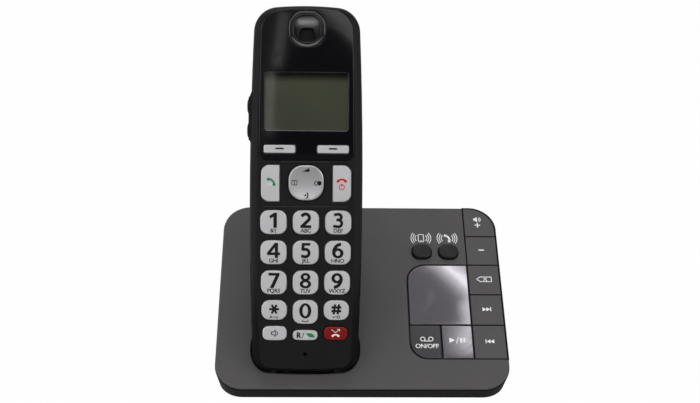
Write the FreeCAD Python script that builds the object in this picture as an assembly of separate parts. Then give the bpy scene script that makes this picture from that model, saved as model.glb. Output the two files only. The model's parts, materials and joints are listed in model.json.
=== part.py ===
"""Cordless telephone on its answering-machine base, as separate pieces in millimetres.

The base is a low wedge with a sloping top plate. The handset reclines in a well on its left
and the machine's keys and message window fill its right. Two tilted frames are used while
building: the plate frame lies on the plate's top face, with its origin at the middle of the
front edge, x to the right, y up the slope and z out of the face. The handset frame lies on
the handset's front face, with its origin at the foot, x to the right, y up the handset and
z out of the face. Every piece is moved to the common frame before it is written.
"""
import FreeCAD
import Part
import math
import os

Vector = FreeCAD.Vector
Placement = FreeCAD.Placement
Rotation = FreeCAD.Rotation
ACROSS = Vector(1, 0, 0)

# ---- base: overall ----
base_width = 145.0
plate_tilt = 17.5           # degrees
front_height = 8.2          # plate's front edge above the table
corner_radius = 14.0
plate_thickness = 1.6
plate_margin = 0.35         # plate's edge inside the housing's edge
edge_thickness = 0.8        # visible thickness of the plate's edge, above a dark groove
edge_overhang = 0.9         # depth of the groove
housing_wall = 2.0
floor_thickness = 1.5
foot_height = 1.0
undercut = 1.7              # how far the walls lean in at the floor
foot_radius = 5.0
foot_inset = 15.0           # centre of a foot from the floor's edges

# ---- base: keys and window, in the plate frame ----
gap = 0.35                  # half the dark gap between neighbouring keys
column_inset = 0.55         # keys inside the base's right and rear edges
column_width = 16.5
column_bottom = 16.75       # from the plate's front edge
row_heights = (19.0, 17.8, 17.9, 17.9, 18.1)
block_width = 31.75         # window and the two keys below it
answer_width = 15.8
lip_thickness = 0.35        # housing's thin edge outside the keys
lip_drop = 0.25             # its top below the keys' tops
lip_clear = 0.35
window_radius = 10.0
answer_radius = 9.3
cap_thickness = 2.4
well_depth = 3.2            # sunken floor under the base keys
well_floor = 1.4
base_key_travel = 0.7
stem_side = 7.0
stem_length = 3.0           # stem below the cap
locator_insets = (8.45, 22.35)  # centres right of the block's left side
locator_rise = 7.8          # centres above the window
locator_size = (10.1, 8.6)
locator_corner = 3.7
locator_height = 2.2        # above the plate
board_thickness = 1.2
mat_thickness = 0.7
wall_clear = 1.2            # inner mouldings inside the housing's wall
post_radius = 2.0
board_top = -cap_thickness - stem_length - mat_thickness - 1.4

# ---- base: worked out ----
base_depth = column_bottom + sum(row_heights) + column_inset     # along the sloping plate
column_right = base_width / 2 - column_inset
column_left = column_right - column_width
block_left = column_left - block_width
block_split = block_left + answer_width
row_edges = [column_bottom + sum(row_heights[:i]) for i in range(5, -1, -1)]
locator_centres = [(block_left + inset, row_edges[2] + locator_rise) for inset in locator_insets]
board_left = block_left - 9.9
board_posts = [(board_left + 4.0, column_bottom + 6.8), (board_left + 4.0, row_edges[1] - 1.3),
               (column_left - 6.4, row_edges[1] - 1.3)]

# ---- base: sockets, loudspeaker and screws, on the table's plane ----
jack_height = 12.0
jack_board_level = 5.4
line_jack_x = block_left - 0.4
power_jack_x = line_jack_x + 20.0
jack_posts = ((line_jack_x - 3.5, 94.5), (power_jack_x + 2.5, 92.0))
speaker_centre = (block_left + 5.6, 62.0)
speaker_radius = 19.0
base_screw_places = ((8.2 - base_width / 2, 27.0), (block_left + 5.6, 11.6),
                     (8.2 - base_width / 2, 80.0), (block_left - 16.4, 94.0))
boss_radius = 3.4
boss_level = 5.6
screw_seat = foot_height + 1.7
screw_seat_radius = 3.0
base_screw_radius = 1.1

# ---- handset: overall, in the handset frame ----
handset_length = 177.3
handset_half_width = 27.4   # at the widest place, half-way up
side_bow = 2.1
top_bow = 2.0
bottom_bow = 1.0
top_radius = 12.0
bottom_radius = 8.8
parting_depth = 10.5        # front shell meets rear shell
back_profile = ((-6.0, 16.8), (0.0, 17.5), (30.0, 21.2), (60.0, 24.8), (90.0, 26.9),
                (120.0, 27.4), (handset_length - 27.3, 26.4), (handset_length + 6.7, 23.0))
back_radius = 6.0
shell_wall = 1.6
face_thickness = 1.9
bevel_depth = 5.4           # rounded shoulder between the face and the sides
bevel_side = 3.6
bevel_end = 1.8
bevel_steps = 5
shoulder_side = 1.5         # extra wall behind the rounded shoulder
shoulder_end = 0.8

# ---- handset: how it sits in the base ----
handset_inset = 44.2        # its middle, from the base's left edge
handset_x = handset_inset - base_width / 2
handset_rise = 36.5         # degrees above the plate
foot_along = 6.7            # foot from the plate's front edge
cradle_back_gap = 0.3
cradle_side_gap = 1.4
cradle_end_gap = 1.6
cradle_wall = 1.4
well_lowest = 3.25          # lowest corner of the well above the table, before it is rounded
rest_top = 76.0             # how far up the handset the back rest reaches
rest_half_width = 21.0
rest_wall = 1.8

# ---- handset: keys ----
key_gap = 0.35
key_travel = 0.6
key_rise = 1.15             # key's top above the face
crown_radius = 75.0
flange_width = 0.7
flange_thickness = 0.8
flange_clear = 0.1
stem_radius = 2.2
stem_bottom = -4.5
row_pitch = 14.5
top_row = 72.7              # middle of the first dial row above the foot
dial_height = 11.5
dial_corner = 3.8
dial_bow = 0.35
last_row_lift = 1.2         # star and hash above the even pitch
last_row_height = 9.5
zero_drop = 0.9             # 0 below the star and the hash
foot_pitch = 11.2           # smallest keys below the last row
speaker_size = (11.5, 6.8)
recall_size = (11.8, 4.8)
block_size = (11.3, 6.5)
recall_drop = 0.9
key_bow = 2.77              # the columns draw together towards the foot on this bow
column_share = 0.571        # column pitch over the half width with that bow
width_share = 0.461         # key width over the same half width
dome_top = -5.2
mat_top = -5.6
mat_bottom = -6.3

# ---- handset: upper panel ----
panel_bottom = handset_length - 74.8
panel_top = handset_length - 1.8
panel_half_bottom = handset_half_width - 4.5
panel_half_top = handset_half_width - 5.5
panel_seat = 1.0            # depth of the panel's recess
panel_proud = 0.4
window_half = panel_half_bottom - 2.8
window_span = (panel_bottom + 14.3, panel_bottom + 42.3)
window_corner = 1.2
ear_centre = (0.0, handset_length - 11.7)
ear_size = (18.0, 17.4)
ear_bore = (13.4, 13.0)
soft_key_outer = panel_half_bottom - 2.5
soft_key_inner = 5.3
soft_key_span = (panel_bottom + 3.5, panel_bottom + 7.3)
call_outer = handset_half_width - 5.8
call_inner = call_outer - 8.7
call_span = (panel_bottom - 19.8, panel_bottom - 2.3)
nav_centre = (0.0, (call_span[0] + call_span[1]) / 2 + 0.3)
nav_size = 2 * (call_inner - 4.5)
nav_corner = nav_size / 2 - 1.5
nav_gap = 0.5
clip_slot_span = (36.3, 52.5)    # notches in the sides for a belt clip
clip_slot_depth = 0.9
clip_slot_levels = (-5.2, -3.4)
microphone_place = (0.0, 8.9)
microphone_bore = 0.95

# ---- handset: rear ----
cover_half_width = 16.0
cover_span = (handset_length - 99.3, handset_length - 37.3)
cover_gap = 0.2
cell_radius = 5.25
cell_length = 44.5
cell_tip = 1.0
cell_bottom = cover_span[0] + 9.0
tub_wall = 1.2
tub_half_width = 12.8
tub_span = (cover_span[0] + 4.0, cover_span[1] - 3.5)
tub_floor = -12.4
screw_places = ((-14.0, 9.2), (14.0, 9.2),
                (-16.5, handset_length - 13.8), (16.5, handset_length - 13.8))
screw_head_radius = 2.1
screw_sink = 4.2            # heads below the back surface
ringer_centre = (0.0, cover_span[1] + 9.5)
ringer_radius = 11.0


def bowed_prism(corners, bows, radii, low, high):
    """A prism on four corners, anticlockwise from the lower left; sides bow out, corners round."""
    points = [Vector(x, y, low) for x, y in corners]
    edges = []
    for i, bow in enumerate(bows):
        a, b = points[i], points[(i + 1) % 4]
        run = (b - a).normalize()
        middle = (a + b) * 0.5 + Vector(run.y, -run.x, 0) * bow
        edges.append(Part.Arc(a, middle, b).toShape() if bow else Part.makeLine(a, b))
    solid = Part.Face(Part.Wire(edges)).extrude(Vector(0, 0, high - low))
    for point, radius in zip(points, radii):
        if radius:
            solid = solid.makeFillet(radius, [upright_edge(solid, point)])
    return solid


def upright_edge(solid, point):
    """The solid's edge parallel to z that stands at the given point."""
    for edge in solid.Edges:
        a, b = edge.Vertexes[0].Point, edge.Vertexes[-1].Point
        if all(abs(p.x - point.x) + abs(p.y - point.y) < 1e-4 for p in (a, b)):
            return edge
    raise ValueError("no upright edge there")


def pad(width, height, centre, radius, low, high, bow=0.0):
    """A rounded cushion-shaped prism about a centre."""
    x, y = centre
    w, h = width / 2 - bow, height / 2 - bow
    corners = ((x - w, y - h), (x + w, y - h), (x + w, y + h), (x - w, y + h))
    return bowed_prism(corners, (bow,) * 4, (radius,) * 4, low, high)


def box(x0, x1, y0, y1, z0, z1):
    """A plain block between two corners."""
    return Part.makeBox(x1 - x0, y1 - y0, z1 - z0, Vector(x0, y0, z0))


def cylinder(radius, centre, low, high):
    """An upright cylinder."""
    return Part.makeCylinder(radius, high - low, Vector(centre[0], centre[1], low))


def fuse(*solids):
    """One solid from several that overlap."""
    return solids[0].fuse(list(solids[1:])).removeSplitter()


def top_edges(solid, level, tolerance=1e-3):
    """Edges that lie wholly at one height."""
    return [e for e in solid.Edges
            if abs(e.BoundBox.ZMin - level) < tolerance and abs(e.BoundBox.ZMax - level) < tolerance]


# ---------------------------------------------------------------- handset forms

def half_width(along, bow=side_bow):
    """The handset's half width at a height above its foot, or that of a line with another bow."""
    middle = handset_length / 2
    return handset_half_width - bow * ((along - middle) / middle) ** 2


def handset_prism(side_inset, end_inset, low, high):
    """The handset's outline, taken in by the insets, as a prism."""
    half = handset_half_width - side_bow - side_inset
    bottom, top = bottom_bow + end_inset, handset_length - top_bow - end_inset
    corners = ((-half, bottom), (half, bottom), (half, top), (-half, top))
    bows = (bottom_bow, side_bow, top_bow, side_bow)
    shrink = max(side_inset, end_inset)
    radii = (bottom_radius - shrink, bottom_radius - shrink, top_radius - shrink, top_radius - shrink)
    return bowed_prism(corners, bows, radii, low, high)


def outline_at(side_inset, end_inset, level):
    """The closed outline of the handset at one height."""
    prism = handset_prism(side_inset, end_inset, level, level + 1)
    return Part.Wire(Part.__sortEdges__(top_edges(prism, level)))


def behind_back(offset, reach=40.0):
    """Everything behind the back surface moved out by offset, as a wide block."""
    points = [Vector(0, y, -depth - offset) for y, depth in back_profile]
    spline = Part.BSplineCurve()
    spline.interpolate(points)
    first, last = points[0], points[-1]
    below = [Vector(0, last.y, -90), Vector(0, first.y, -90)]
    edges = [spline.toShape(), Part.makeLine(last, below[0]), Part.makeLine(below[0], below[1]),
             Part.makeLine(below[1], first)]
    return Part.Face(Part.Wire(edges)).extrude(Vector(2 * reach, 0, 0)).translated(Vector(-reach, 0, 0))


def rear_form(inset, back_offset, radius, top):
    """The rear of the handset as a solid: the outline cut off at the back surface and rounded."""
    block = handset_prism(inset, inset, -60, top).cut(behind_back(back_offset))
    back = min(block.Faces, key=lambda face: face.CenterOfMass.z)
    return block.makeFillet(radius, back.OuterWire.Edges) if radius else block


def front_form():
    """The front of the handset as a solid, with its rounded bevel."""
    turn = 2 * math.atan(bevel_side / bevel_depth)
    levels = [outline_at(0, 0, -parting_depth)]
    for step in range(bevel_steps + 1):
        angle = turn * step / bevel_steps
        share = (1 - math.cos(angle)) / (1 - math.cos(turn))
        depth = bevel_depth * (1 - math.sin(angle) / math.sin(turn))
        levels.append(outline_at(bevel_side * share, bevel_end * share, -depth))
    return Part.makeLoft(levels, True, True)


def back_depth(along):
    """Depth of the back surface below the face at a height above the foot."""
    line = Part.makeLine(Vector(0, along, 0), Vector(0, along, -60))
    hit = line.common(behind_back(0.0))
    return -hit.BoundBox.ZMax


# ---------------------------------------------------------------- handset keys

def side_x(along):
    """x of the handset's left side."""
    return -half_width(along)


def dial_keys():
    """Name, width, height, centre, corner radius and bow of each key of the dial."""
    keys = []
    digits = (("1", "2", "3"), ("4", "5", "6"), ("7", "8", "9"))
    for row, names in enumerate(digits):
        along = top_row - row * row_pitch
        for column, name in enumerate(names):
            centre = ((column - 1) * column_share * half_width(along, key_bow), along)
            width = width_share * half_width(along, key_bow)
            keys.append(("key_" + name, width, dial_height, centre, dial_corner, dial_bow))
    last = top_row - 3 * row_pitch + last_row_lift
    side = column_share * half_width(last, key_bow)
    width = width_share * half_width(last, key_bow)
    keys.append(("key_star", width, last_row_height, (-side, last), dial_corner, dial_bow))
    keys.append(("key_0", width, dial_height, (0.0, last - zero_drop), dial_corner, dial_bow))
    keys.append(("key_hash", width, last_row_height, (side, last), dial_corner, dial_bow))
    foot_row = last - foot_pitch
    side = column_share * half_width(foot_row, key_bow)
    keys.append(("speaker_key", *speaker_size, (-side, foot_row), 2.5, 0.25))
    keys.append(("recall_key", *recall_size, (0.0, foot_row - recall_drop), 1.9, 0.2))
    keys.append(("block_key", *block_size, (side, foot_row), 2.5, 0.25))
    return keys


def call_key_corners(side, grow=0.0):
    """Corners and corner radii of the talk key (side -1) or the off key (side 1)."""
    inner, outer = call_inner - grow, call_outer + grow
    low, high = call_span[0] - grow, call_span[1] + grow
    if side < 0:
        return ((-outer, low), (-inner, low), (-inner, high), (-outer, high)), (4.0, 0.5, 0.5, 4.0)
    return ((inner, low), (outer, low), (outer, high), (inner, high)), (0.5, 4.0, 4.0, 0.5)


def soft_key_corners(side, grow=0.0):
    """Corners of a soft key under the display."""
    inner, outer = soft_key_inner - grow, soft_key_outer + grow
    low, high = soft_key_span[0] - grow, soft_key_span[1] + grow
    left, right = (-outer, -inner) if side < 0 else (inner, outer)
    return (left, low), (right, low), (right, high), (left, high)


def crowned(cap, centre, top, radius=crown_radius):
    """A cap with its top cut to a shallow dome."""
    ball = Part.makeSphere(radius, Vector(centre[0], centre[1], top - radius))
    return cap.common(ball)


def softened(cap, radius):
    """A cap with the edges of its highest face rounded."""
    highest = max(cap.Faces, key=lambda face: face.CenterOfMass.z)
    return cap.makeFillet(radius, highest.OuterWire.Edges)


def under_parts(outline, centre):
    """The retaining flange and the plunger that a handset key has behind the face."""
    top = -face_thickness - flange_clear
    flange = outline(flange_width, top - flange_thickness, top)
    stem = cylinder(stem_radius, centre, stem_bottom, top)
    return flange, stem


def dial_key(width, height, centre, radius, bow):
    """One moulded key of the dial."""
    def outline(grow, low, high):
        return pad(width + 2 * grow, height + 2 * grow, centre, radius + grow, low, high, bow)
    cap = softened(crowned(outline(0, -face_thickness - 0.5, 5), centre, key_rise), 0.5)
    return fuse(cap, *under_parts(outline, centre))


def call_key(side):
    """The tall talk or off key beside the navigator."""
    corners, radii = call_key_corners(side)
    centre = ((corners[0][0] + corners[1][0]) / 2, (corners[0][1] + corners[2][1]) / 2)

    def outline(grow, low, high):
        grown, _ = call_key_corners(side, grow)
        return bowed_prism(grown, (0,) * 4, radii, low, high)
    cap = softened(crowned(outline(0, -face_thickness - 0.5, 5), centre, key_rise - 0.1, 120), 0.4)
    return fuse(cap, *under_parts(outline, centre))


def soft_key(side):
    """A soft key, which stands in the panel's lower slope."""
    corners = soft_key_corners(side)
    centre = ((corners[0][0] + corners[1][0]) / 2, (corners[0][1] + corners[2][1]) / 2)

    def outline(grow, low, high):
        return bowed_prism(soft_key_corners(side, grow), (0,) * 4, (0.9,) * 4, low, high)
    cap = softened(outline(0, -face_thickness - 0.5, panel_proud + 0.9), 0.4)
    return fuse(cap, *under_parts(outline, centre))


nav_top = 1.3
nav_dish_radius = 60.0
nav_dish_depth = 0.55       # below the key's rim
cap_bottom = -1.1
carrier_top = -1.5
carrier_flange_top = -2.5
carrier_flange = 0.6
knuckle_radius = 1.2        # the key rocks left and right on this
knuckle_level = -1.3
trunnion_radius = 1.2       # the carrier rocks up and down on this
trunnion_level = -3.7
pivot_clear = 0.05
plunger_reach = 6.0         # from the middle to the four plungers
plunger_bottom = -4.7


def nav_outline(grow, low, high):
    """The rounded outline of the four-way navigator."""
    size = nav_size + 2 * grow
    return pad(size, size, nav_centre, nav_corner + grow, low, high, 0.5)


def level_bar(radius, half, level, along):
    """A round bar through the middle of the navigator, along x or along y."""
    x, y = nav_centre
    if along == "x":
        return Part.makeCylinder(radius, 2 * half, Vector(x - half, y, level), Vector(1, 0, 0))
    return Part.makeCylinder(radius, 2 * half, Vector(x, y - half, level), Vector(0, 1, 0))


def nav_plungers():
    """Where the carrier's four plungers stand."""
    x, y = nav_centre
    return [(x + plunger_reach, y), (x - plunger_reach, y), (x, y + plunger_reach), (x, y - plunger_reach)]


def navigator():
    """The dished four-way key, and the carrier under it that it rocks on."""
    cap = nav_outline(0, cap_bottom, nav_top)
    cap = cap.makeFillet(0.45, top_edges(cap, nav_top))
    lowest = nav_top - nav_dish_depth
    cap = cap.cut(Part.makeSphere(nav_dish_radius, Vector(*nav_centre, lowest + nav_dish_radius)))
    half = nav_size / 2 - 1.6
    key = fuse(cap, level_bar(knuckle_radius, half, knuckle_level, "y"))
    low = carrier_flange_top - carrier_flange
    carrier = fuse(nav_outline(-0.1, low, carrier_top),
                   nav_outline(nav_gap + 0.4, low, carrier_flange_top),
                   level_bar(trunnion_radius, half, trunnion_level, "x"))
    carrier = fuse(carrier, *[cylinder(1.0, place, plunger_bottom, low + 0.1) for place in nav_plungers()])
    return key, carrier.cut(level_bar(knuckle_radius + pivot_clear, half + 0.2, knuckle_level, "y"))


# ---------------------------------------------------------------- side rocker

rocker_centre = panel_bottom + 20.3
rocker_length = 21.0
rocker_width = 4.4
rocker_depth = -7.0         # middle of its width below the face
rocker_gap = 0.35
rocker_reach = 2.2          # how far inside the handset's side its flange begins
rocker_flange = 0.7
shroud_rise = 0.9
shroud_half = 12.2
bump_rise = 0.8
bump_pitch = 11.7           # between the two raised pads
bump_half = 3.9
rocker_pivot_radius = 0.8


def bump_outline(points, low, high):
    """A prism on a closed chain of points joined by a smooth outer curve and a straight back."""
    spline = Part.BSplineCurve()
    spline.interpolate([Vector(x, y, low) for x, y in points])
    first, last = points[0], points[-1]
    chord = Part.makeLine(Vector(last[0], last[1], low), Vector(first[0], first[1], low))
    return Part.Face(Part.Wire([spline.toShape(), chord])).extrude(Vector(0, 0, high - low))


def rocker_shroud():
    """The low swelling on the left side that the rocker stands in."""
    side = side_x(rocker_centre)
    low, high = rocker_centre - shroud_half, rocker_centre + shroud_half
    points = ((side + 0.9, low - 1.5), (side + 0.1, low), (side - shroud_rise, low + 3.2),
              (side - shroud_rise - 0.1, rocker_centre), (side - shroud_rise, high - 3.2),
              (side + 0.1, high), (side + 0.9, high + 1.5))
    return bump_outline(points, -parting_depth + 0.4, -bevel_depth + 1.7)


def rocker_pivot():
    """Where the rocker's pivot stands, in the middle of its flange."""
    return side_x(rocker_centre) + rocker_reach + rocker_flange / 2, rocker_centre


def side_rocker():
    """The two-ended volume rocker, with a raised pad at each end."""
    side = side_x(rocker_centre) - shroud_rise
    low, high = rocker_centre - rocker_length / 2, rocker_centre + rocker_length / 2
    z0, z1 = rocker_depth - rocker_width / 2, rocker_depth + rocker_width / 2
    inner = side_x(rocker_centre) + rocker_reach
    body = box(side - 0.1, inner, low, high, z0, z1)
    bumps = []
    for centre in (rocker_centre - bump_pitch / 2, rocker_centre + bump_pitch / 2):
        shoulder = bump_half * 0.6
        points = ((side, centre - bump_half), (side - bump_rise * 0.8, centre - shoulder),
                  (side - bump_rise, centre), (side - bump_rise * 0.8, centre + shoulder),
                  (side, centre + bump_half))
        bumps.append(bump_outline(points, z0, z1))
    flange = box(inner, inner + rocker_flange, low - 0.8, high + 0.8, z0 - 0.5, z1 + 0.5)
    pivot = cylinder(rocker_pivot_radius, rocker_pivot(), z0 - 0.9, z1 + 0.9)
    return fuse(body, *bumps, flange, pivot)


# ---------------------------------------------------------------- handset shells

def panel_prism(grow, low, high):
    """The outline of the glossy upper panel as a prism."""
    bottom, top = panel_bottom - grow, panel_top - top_bow + grow
    a, b = panel_half_bottom + grow, panel_half_top + grow
    corners = ((-a, bottom), (a, bottom), (b, top), (-b, top))
    return bowed_prism(corners, (0, 0.25, top_bow, 0.25), (4.0, 4.0, 10.2, 10.2), low, high)


def window_prism(grow, low, high):
    """The outline of the display window as a prism."""
    low_y, high_y = window_span[0] - grow, window_span[1] + grow
    half = window_half + grow
    corners = ((-half, low_y), (half, low_y), (half, high_y), (-half, high_y))
    return bowed_prism(corners, (0,) * 4, (window_corner,) * 4, low, high)


def ear_prism(size, grow, low, high):
    """A rounded outline about the earpiece."""
    return pad(size[0] + 2 * grow, size[1] + 2 * grow, ear_centre, size[0] * 0.4 + grow, low, high, 0.5)


def front_shell():
    """The handset's front moulding, with every key's opening."""
    shell = front_form()
    shell = fuse(shell, rocker_shroud())
    shell = shell.cut(handset_prism(shell_wall, shell_wall, -parting_depth - 1, -bevel_depth))
    side, end = shell_wall + shoulder_side, shell_wall + shoulder_end
    shell = shell.cut(handset_prism(side, end, -parting_depth, -face_thickness))
    shell = shell.cut(panel_prism(0.15, -panel_seat, 5))
    middle = (0.0, (call_span[0] + call_span[1]) / 2 - 0.5)
    shell = shell.cut(pad(2 * call_outer + 1.8, call_span[1] - call_span[0] + 3.0, middle, 5.0, -0.35, 5))
    cutters = []
    for _, width, height, centre, radius, bow in dial_keys():
        cutters.append(pad(width + 2 * key_gap, height + 2 * key_gap, centre, radius + key_gap, -9, 5, bow))
    for side in (-1, 1):
        corners, radii = call_key_corners(side, key_gap)
        cutters.append(bowed_prism(corners, (0,) * 4, radii, -9, 5))
        cutters.append(bowed_prism(soft_key_corners(side, key_gap), (0,) * 4, (0.9,) * 4, -9, 5))
    cutters.append(nav_outline(nav_gap, -9, 5))
    cutters.append(window_prism(0.6, -9, 5))
    cutters.append(ear_prism(ear_size, -0.8, -9, 5))
    cutters.append(cylinder(microphone_bore, microphone_place, -9, 5))
    shell = shell.cut(cutters)
    z0, z1 = rocker_depth - rocker_width / 2, rocker_depth + rocker_width / 2
    low, high = rocker_centre - rocker_length / 2, rocker_centre + rocker_length / 2
    side = side_x(rocker_centre)
    inner = side + rocker_reach
    shell = shell.cut([box(side - 9, inner + 0.6, low - rocker_gap, high + rocker_gap,
                           z0 - rocker_gap, z1 + rocker_gap),
                       box(inner - 1.4, inner + rocker_flange + 0.9, low - 1.6, high + 1.6,
                           z0 - 1.1, z1 + 1.1)])
    edge = half_width(sum(clip_slot_span) / 2) - clip_slot_depth
    for x0, x1 in ((-edge - 5, -edge), (edge, edge + 5)):
        shell = shell.cut(box(x0, x1, *clip_slot_span, *clip_slot_levels))
    reveal = handset_prism(-2, -2, -parting_depth, -parting_depth + 0.35)
    shell = shell.cut(reveal.cut(handset_prism(0.35, 0.35, -parting_depth - 1, 0)))
    posts = [cylinder(2.7, place, -parting_depth, -face_thickness + 0.2) for place in screw_places]
    shell = fuse(shell, *posts)
    shell = shell.cut([cylinder(0.95, place, -parting_depth - 1, -4.0) for place in screw_places])
    return shell.cut(terminal_blocks(0.15))


def cover_prism(grow, low, high):
    """The outline of the battery cover as a prism."""
    x = cover_half_width + grow
    corners = ((-x, cover_span[0] - grow), (x, cover_span[0] - grow),
               (x, cover_span[1] + grow), (-x, cover_span[1] + grow))
    return bowed_prism(corners, (0, 0, 1.5, 0), (3.0,) * 4, low, high)


def rear_shell():
    """The handset's rear moulding, with the battery tub and the screw wells."""
    outer = rear_form(0, 0, back_radius, -parting_depth)
    inner = rear_form(shell_wall, -shell_wall, back_radius - shell_wall, -parting_depth + 1)
    shell = outer.cut(inner)
    inside = rear_form(shell_wall / 2, -shell_wall / 2, 0, -parting_depth)
    ledge = inside.cut(rear_form(shell_wall / 2, -shell_wall - 1.4, 0, -parting_depth + 1))
    ledge = ledge.common(cover_prism(2.0, -60, -parting_depth))
    tub = box(-tub_half_width, tub_half_width, *tub_span, -60, tub_floor).common(inside)
    shell = fuse(shell, ledge, tub)
    cover_room = cover_prism(cover_gap, -60, -parting_depth - 4)
    shell = shell.cut(cover_room.cut(rear_form(0, -shell_wall - 0.15, 0, 0)))
    room = box(-tub_half_width + tub_wall, tub_half_width - tub_wall,
               tub_span[0] + tub_wall, tub_span[1] - tub_wall, -60, tub_floor - tub_wall)
    shell = shell.cut(room)
    posts = [cylinder(3.4, place, -60, -parting_depth).common(outer) for place in screw_places]
    shell = fuse(shell, *posts)
    for place in screw_places:
        seat = -back_depth(place[1]) + screw_sink
        shell = shell.cut([cylinder(1.35, place, -60, 0),
                           cylinder(screw_head_radius + 0.3, place, -60, seat)])
    slots = []
    for i in range(5):
        half = 8.0 - abs(i - 2) * 1.4
        y = ringer_centre[1] - 1.5 + (i - 2) * 2.6
        slots.append(box(-half, half, y - 0.6, y + 0.6, -60, -parting_depth - 6))
    shell = shell.cut(slots)
    return shell.cut(terminal_blocks(0.15))


def battery_cover():
    """The clip-on cover over the cells, flush with the back."""
    skin = rear_form(0, 0, back_radius, -parting_depth).cut(rear_form(0.5, -shell_wall, 0, 0))
    cover = skin.common(cover_prism(0, -60, -parting_depth - 4))
    grips = []
    for i in range(4):
        y = cover_span[1] - 7.0 - i * 2.2
        half = 6.0 - i * 0.8
        level = -back_depth(y)
        grips.append(box(-half, half, y - 0.5, y + 0.5, level - 1, level + 0.4))
    return cover.cut(grips)


def screws(places, head_at, tip_at, head_radius, radius):
    """Pan-head screws, each with a cross recess, as one group."""
    made = []
    for (x, y), head, tip in zip(places, head_at, tip_at):
        screw = fuse(cylinder(head_radius, (x, y), head - 1.5, head),
                     cylinder(radius, (x, y), head - 0.1, tip))
        cross = [box(x - 1.2, x + 1.2, y - 0.25, y + 0.25, head - 2, head - 0.7),
                 box(x - 0.25, x + 0.25, y - 1.2, y + 1.2, head - 2, head - 0.7)]
        made.append(screw.cut(cross))
    return Part.makeCompound(made)


# ---------------------------------------------------------------- handset inside

terminal_x = 9.0
terminal_z = (-13.0, -10.8)
terminal_face = 0.2         # above the foot's lowest point


def terminal_blocks(grow=0.0):
    """The two charge terminals let into the end of the foot."""
    z0, z1 = terminal_z
    return Part.makeCompound([
        box(x - 2.2 - grow, x + 2.2 + grow, -1 if grow else terminal_face, 2.4 + grow, z0 - grow, z1 + grow)
        for x in (-terminal_x, terminal_x)])


def leaf_spring(centre, low, high, width, strip):
    """A bent strip along y between two heights that presses on a cell's end."""
    x, z = centre
    reach = 2.6
    profile = ((low, z - reach), (low + strip, z - reach), (high, z), (low + strip, z + reach),
               (low, z + reach), (high - strip, z))
    ring = [Vector(x - width / 2, y, level) for y, level in profile]
    return Part.Face(Part.makePolygon(ring + ring[:1])).extrude(Vector(width, 0, 0))


def handset_inside():
    """The parts inside the handset, by name."""
    pieces = {}
    inside = handset_prism(shell_wall + 0.3, shell_wall + 0.3, -parting_depth, 0)
    edge = handset_half_width - 6.2
    board = box(-edge, edge, 18, window_span[1] + 7.2, mat_bottom - board_thickness, mat_bottom)
    board = board.common(inside)
    notch = box(-edge - 1, -edge + 0.8, rocker_centre - 15, rocker_centre + 15, -20, 0)
    pieces["handset_board"] = board.cut(notch)
    edge = handset_half_width - 4.9
    mat = box(-edge, edge, 15.0, panel_bottom + 9.7, mat_bottom, mat_top).common(inside)
    domes = []
    for _, _, _, centre, _, _ in dial_keys():
        domes.append(cylinder(2.6, centre, mat_top - 0.1, dome_top))
    for side in (-1, 1):
        for corners in (call_key_corners(side)[0], soft_key_corners(side)):
            middle = ((corners[0][0] + corners[1][0]) / 2, (corners[0][1] + corners[2][1]) / 2)
            domes.append(cylinder(2.0, middle, mat_top - 0.1, dome_top))
    for place in nav_plungers():
        domes.append(cylinder(1.6, place, mat_top - 0.1, dome_top + 0.1))
    domes.append(cylinder(2.2, nav_centre, mat_top - 0.1, trunnion_level - trunnion_radius - pivot_clear))
    pieces["keypad_mat"] = fuse(mat, *domes)
    glass = window_prism(1.0, -3.4, -face_thickness - 0.05)
    tray = window_prism(1.5, mat_bottom + 0.05, -3.4)
    pieces["lcd_module"] = fuse(glass, tray)
    ear_top = -face_thickness - 0.3
    pieces["earpiece_speaker"] = fuse(cylinder(8.0, ear_centre, ear_top - 2.2, ear_top - 0.2),
                                      cylinder(6.2, ear_centre, ear_top - 4.2, ear_top - 2.1),
                                      cylinder(7.2, ear_centre, ear_top - 0.3, ear_top))
    pieces["microphone"] = cylinder(3.0, microphone_place, -face_thickness - 2.6, -face_thickness - 0.05)
    back = -back_depth(ringer_centre[1]) + shell_wall + 0.1
    pieces["handset_speaker"] = fuse(cylinder(ringer_radius, ringer_centre, back + 1.2, back + 2.6),
                                     cylinder(ringer_radius - 4, ringer_centre, back + 2.5, back + 5.2))
    cell_z = tub_floor - tub_wall - cell_radius - 0.1
    cells = []
    for x in (-cell_radius - 0.2, cell_radius + 0.2):
        long = cell_length - cell_tip
        body = Part.makeCylinder(cell_radius, long, Vector(x, cell_bottom, cell_z), Vector(0, 1, 0))
        tip = Part.makeCylinder(1.9, cell_tip, Vector(x, cell_bottom + long, cell_z), Vector(0, 1, 0))
        cells.append(body.fuse(tip).removeSplitter())
    pieces["battery_cells"] = Part.makeCompound(cells)
    contacts = []
    low_wall, high_wall = tub_span[0] + tub_wall, tub_span[1] - tub_wall
    for x in (-cell_radius - 0.2, cell_radius + 0.2):
        low_z, high_z = cell_z - 3.6, cell_z + 3.6
        contacts.append(box(x - 3.6, x + 3.6, low_wall + 0.05, low_wall + 0.45, low_z, high_z))
        contacts.append(box(x - 3.6, x + 3.6, high_wall - 0.45, high_wall - 0.05, low_z, high_z))
        contacts.append(leaf_spring((x, cell_z), low_wall + 0.5, cell_bottom - 0.1, 3.0, 0.5))
    pieces["battery_contacts"] = Part.makeCompound(contacts)
    pieces["handset_terminals"] = terminal_blocks()
    heads = [-back_depth(y) + screw_sink for _, y in screw_places]
    pieces["handset_screws"] = screws(screw_places, heads, [-4.6] * 4, screw_head_radius, 0.9)
    return pieces


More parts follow.
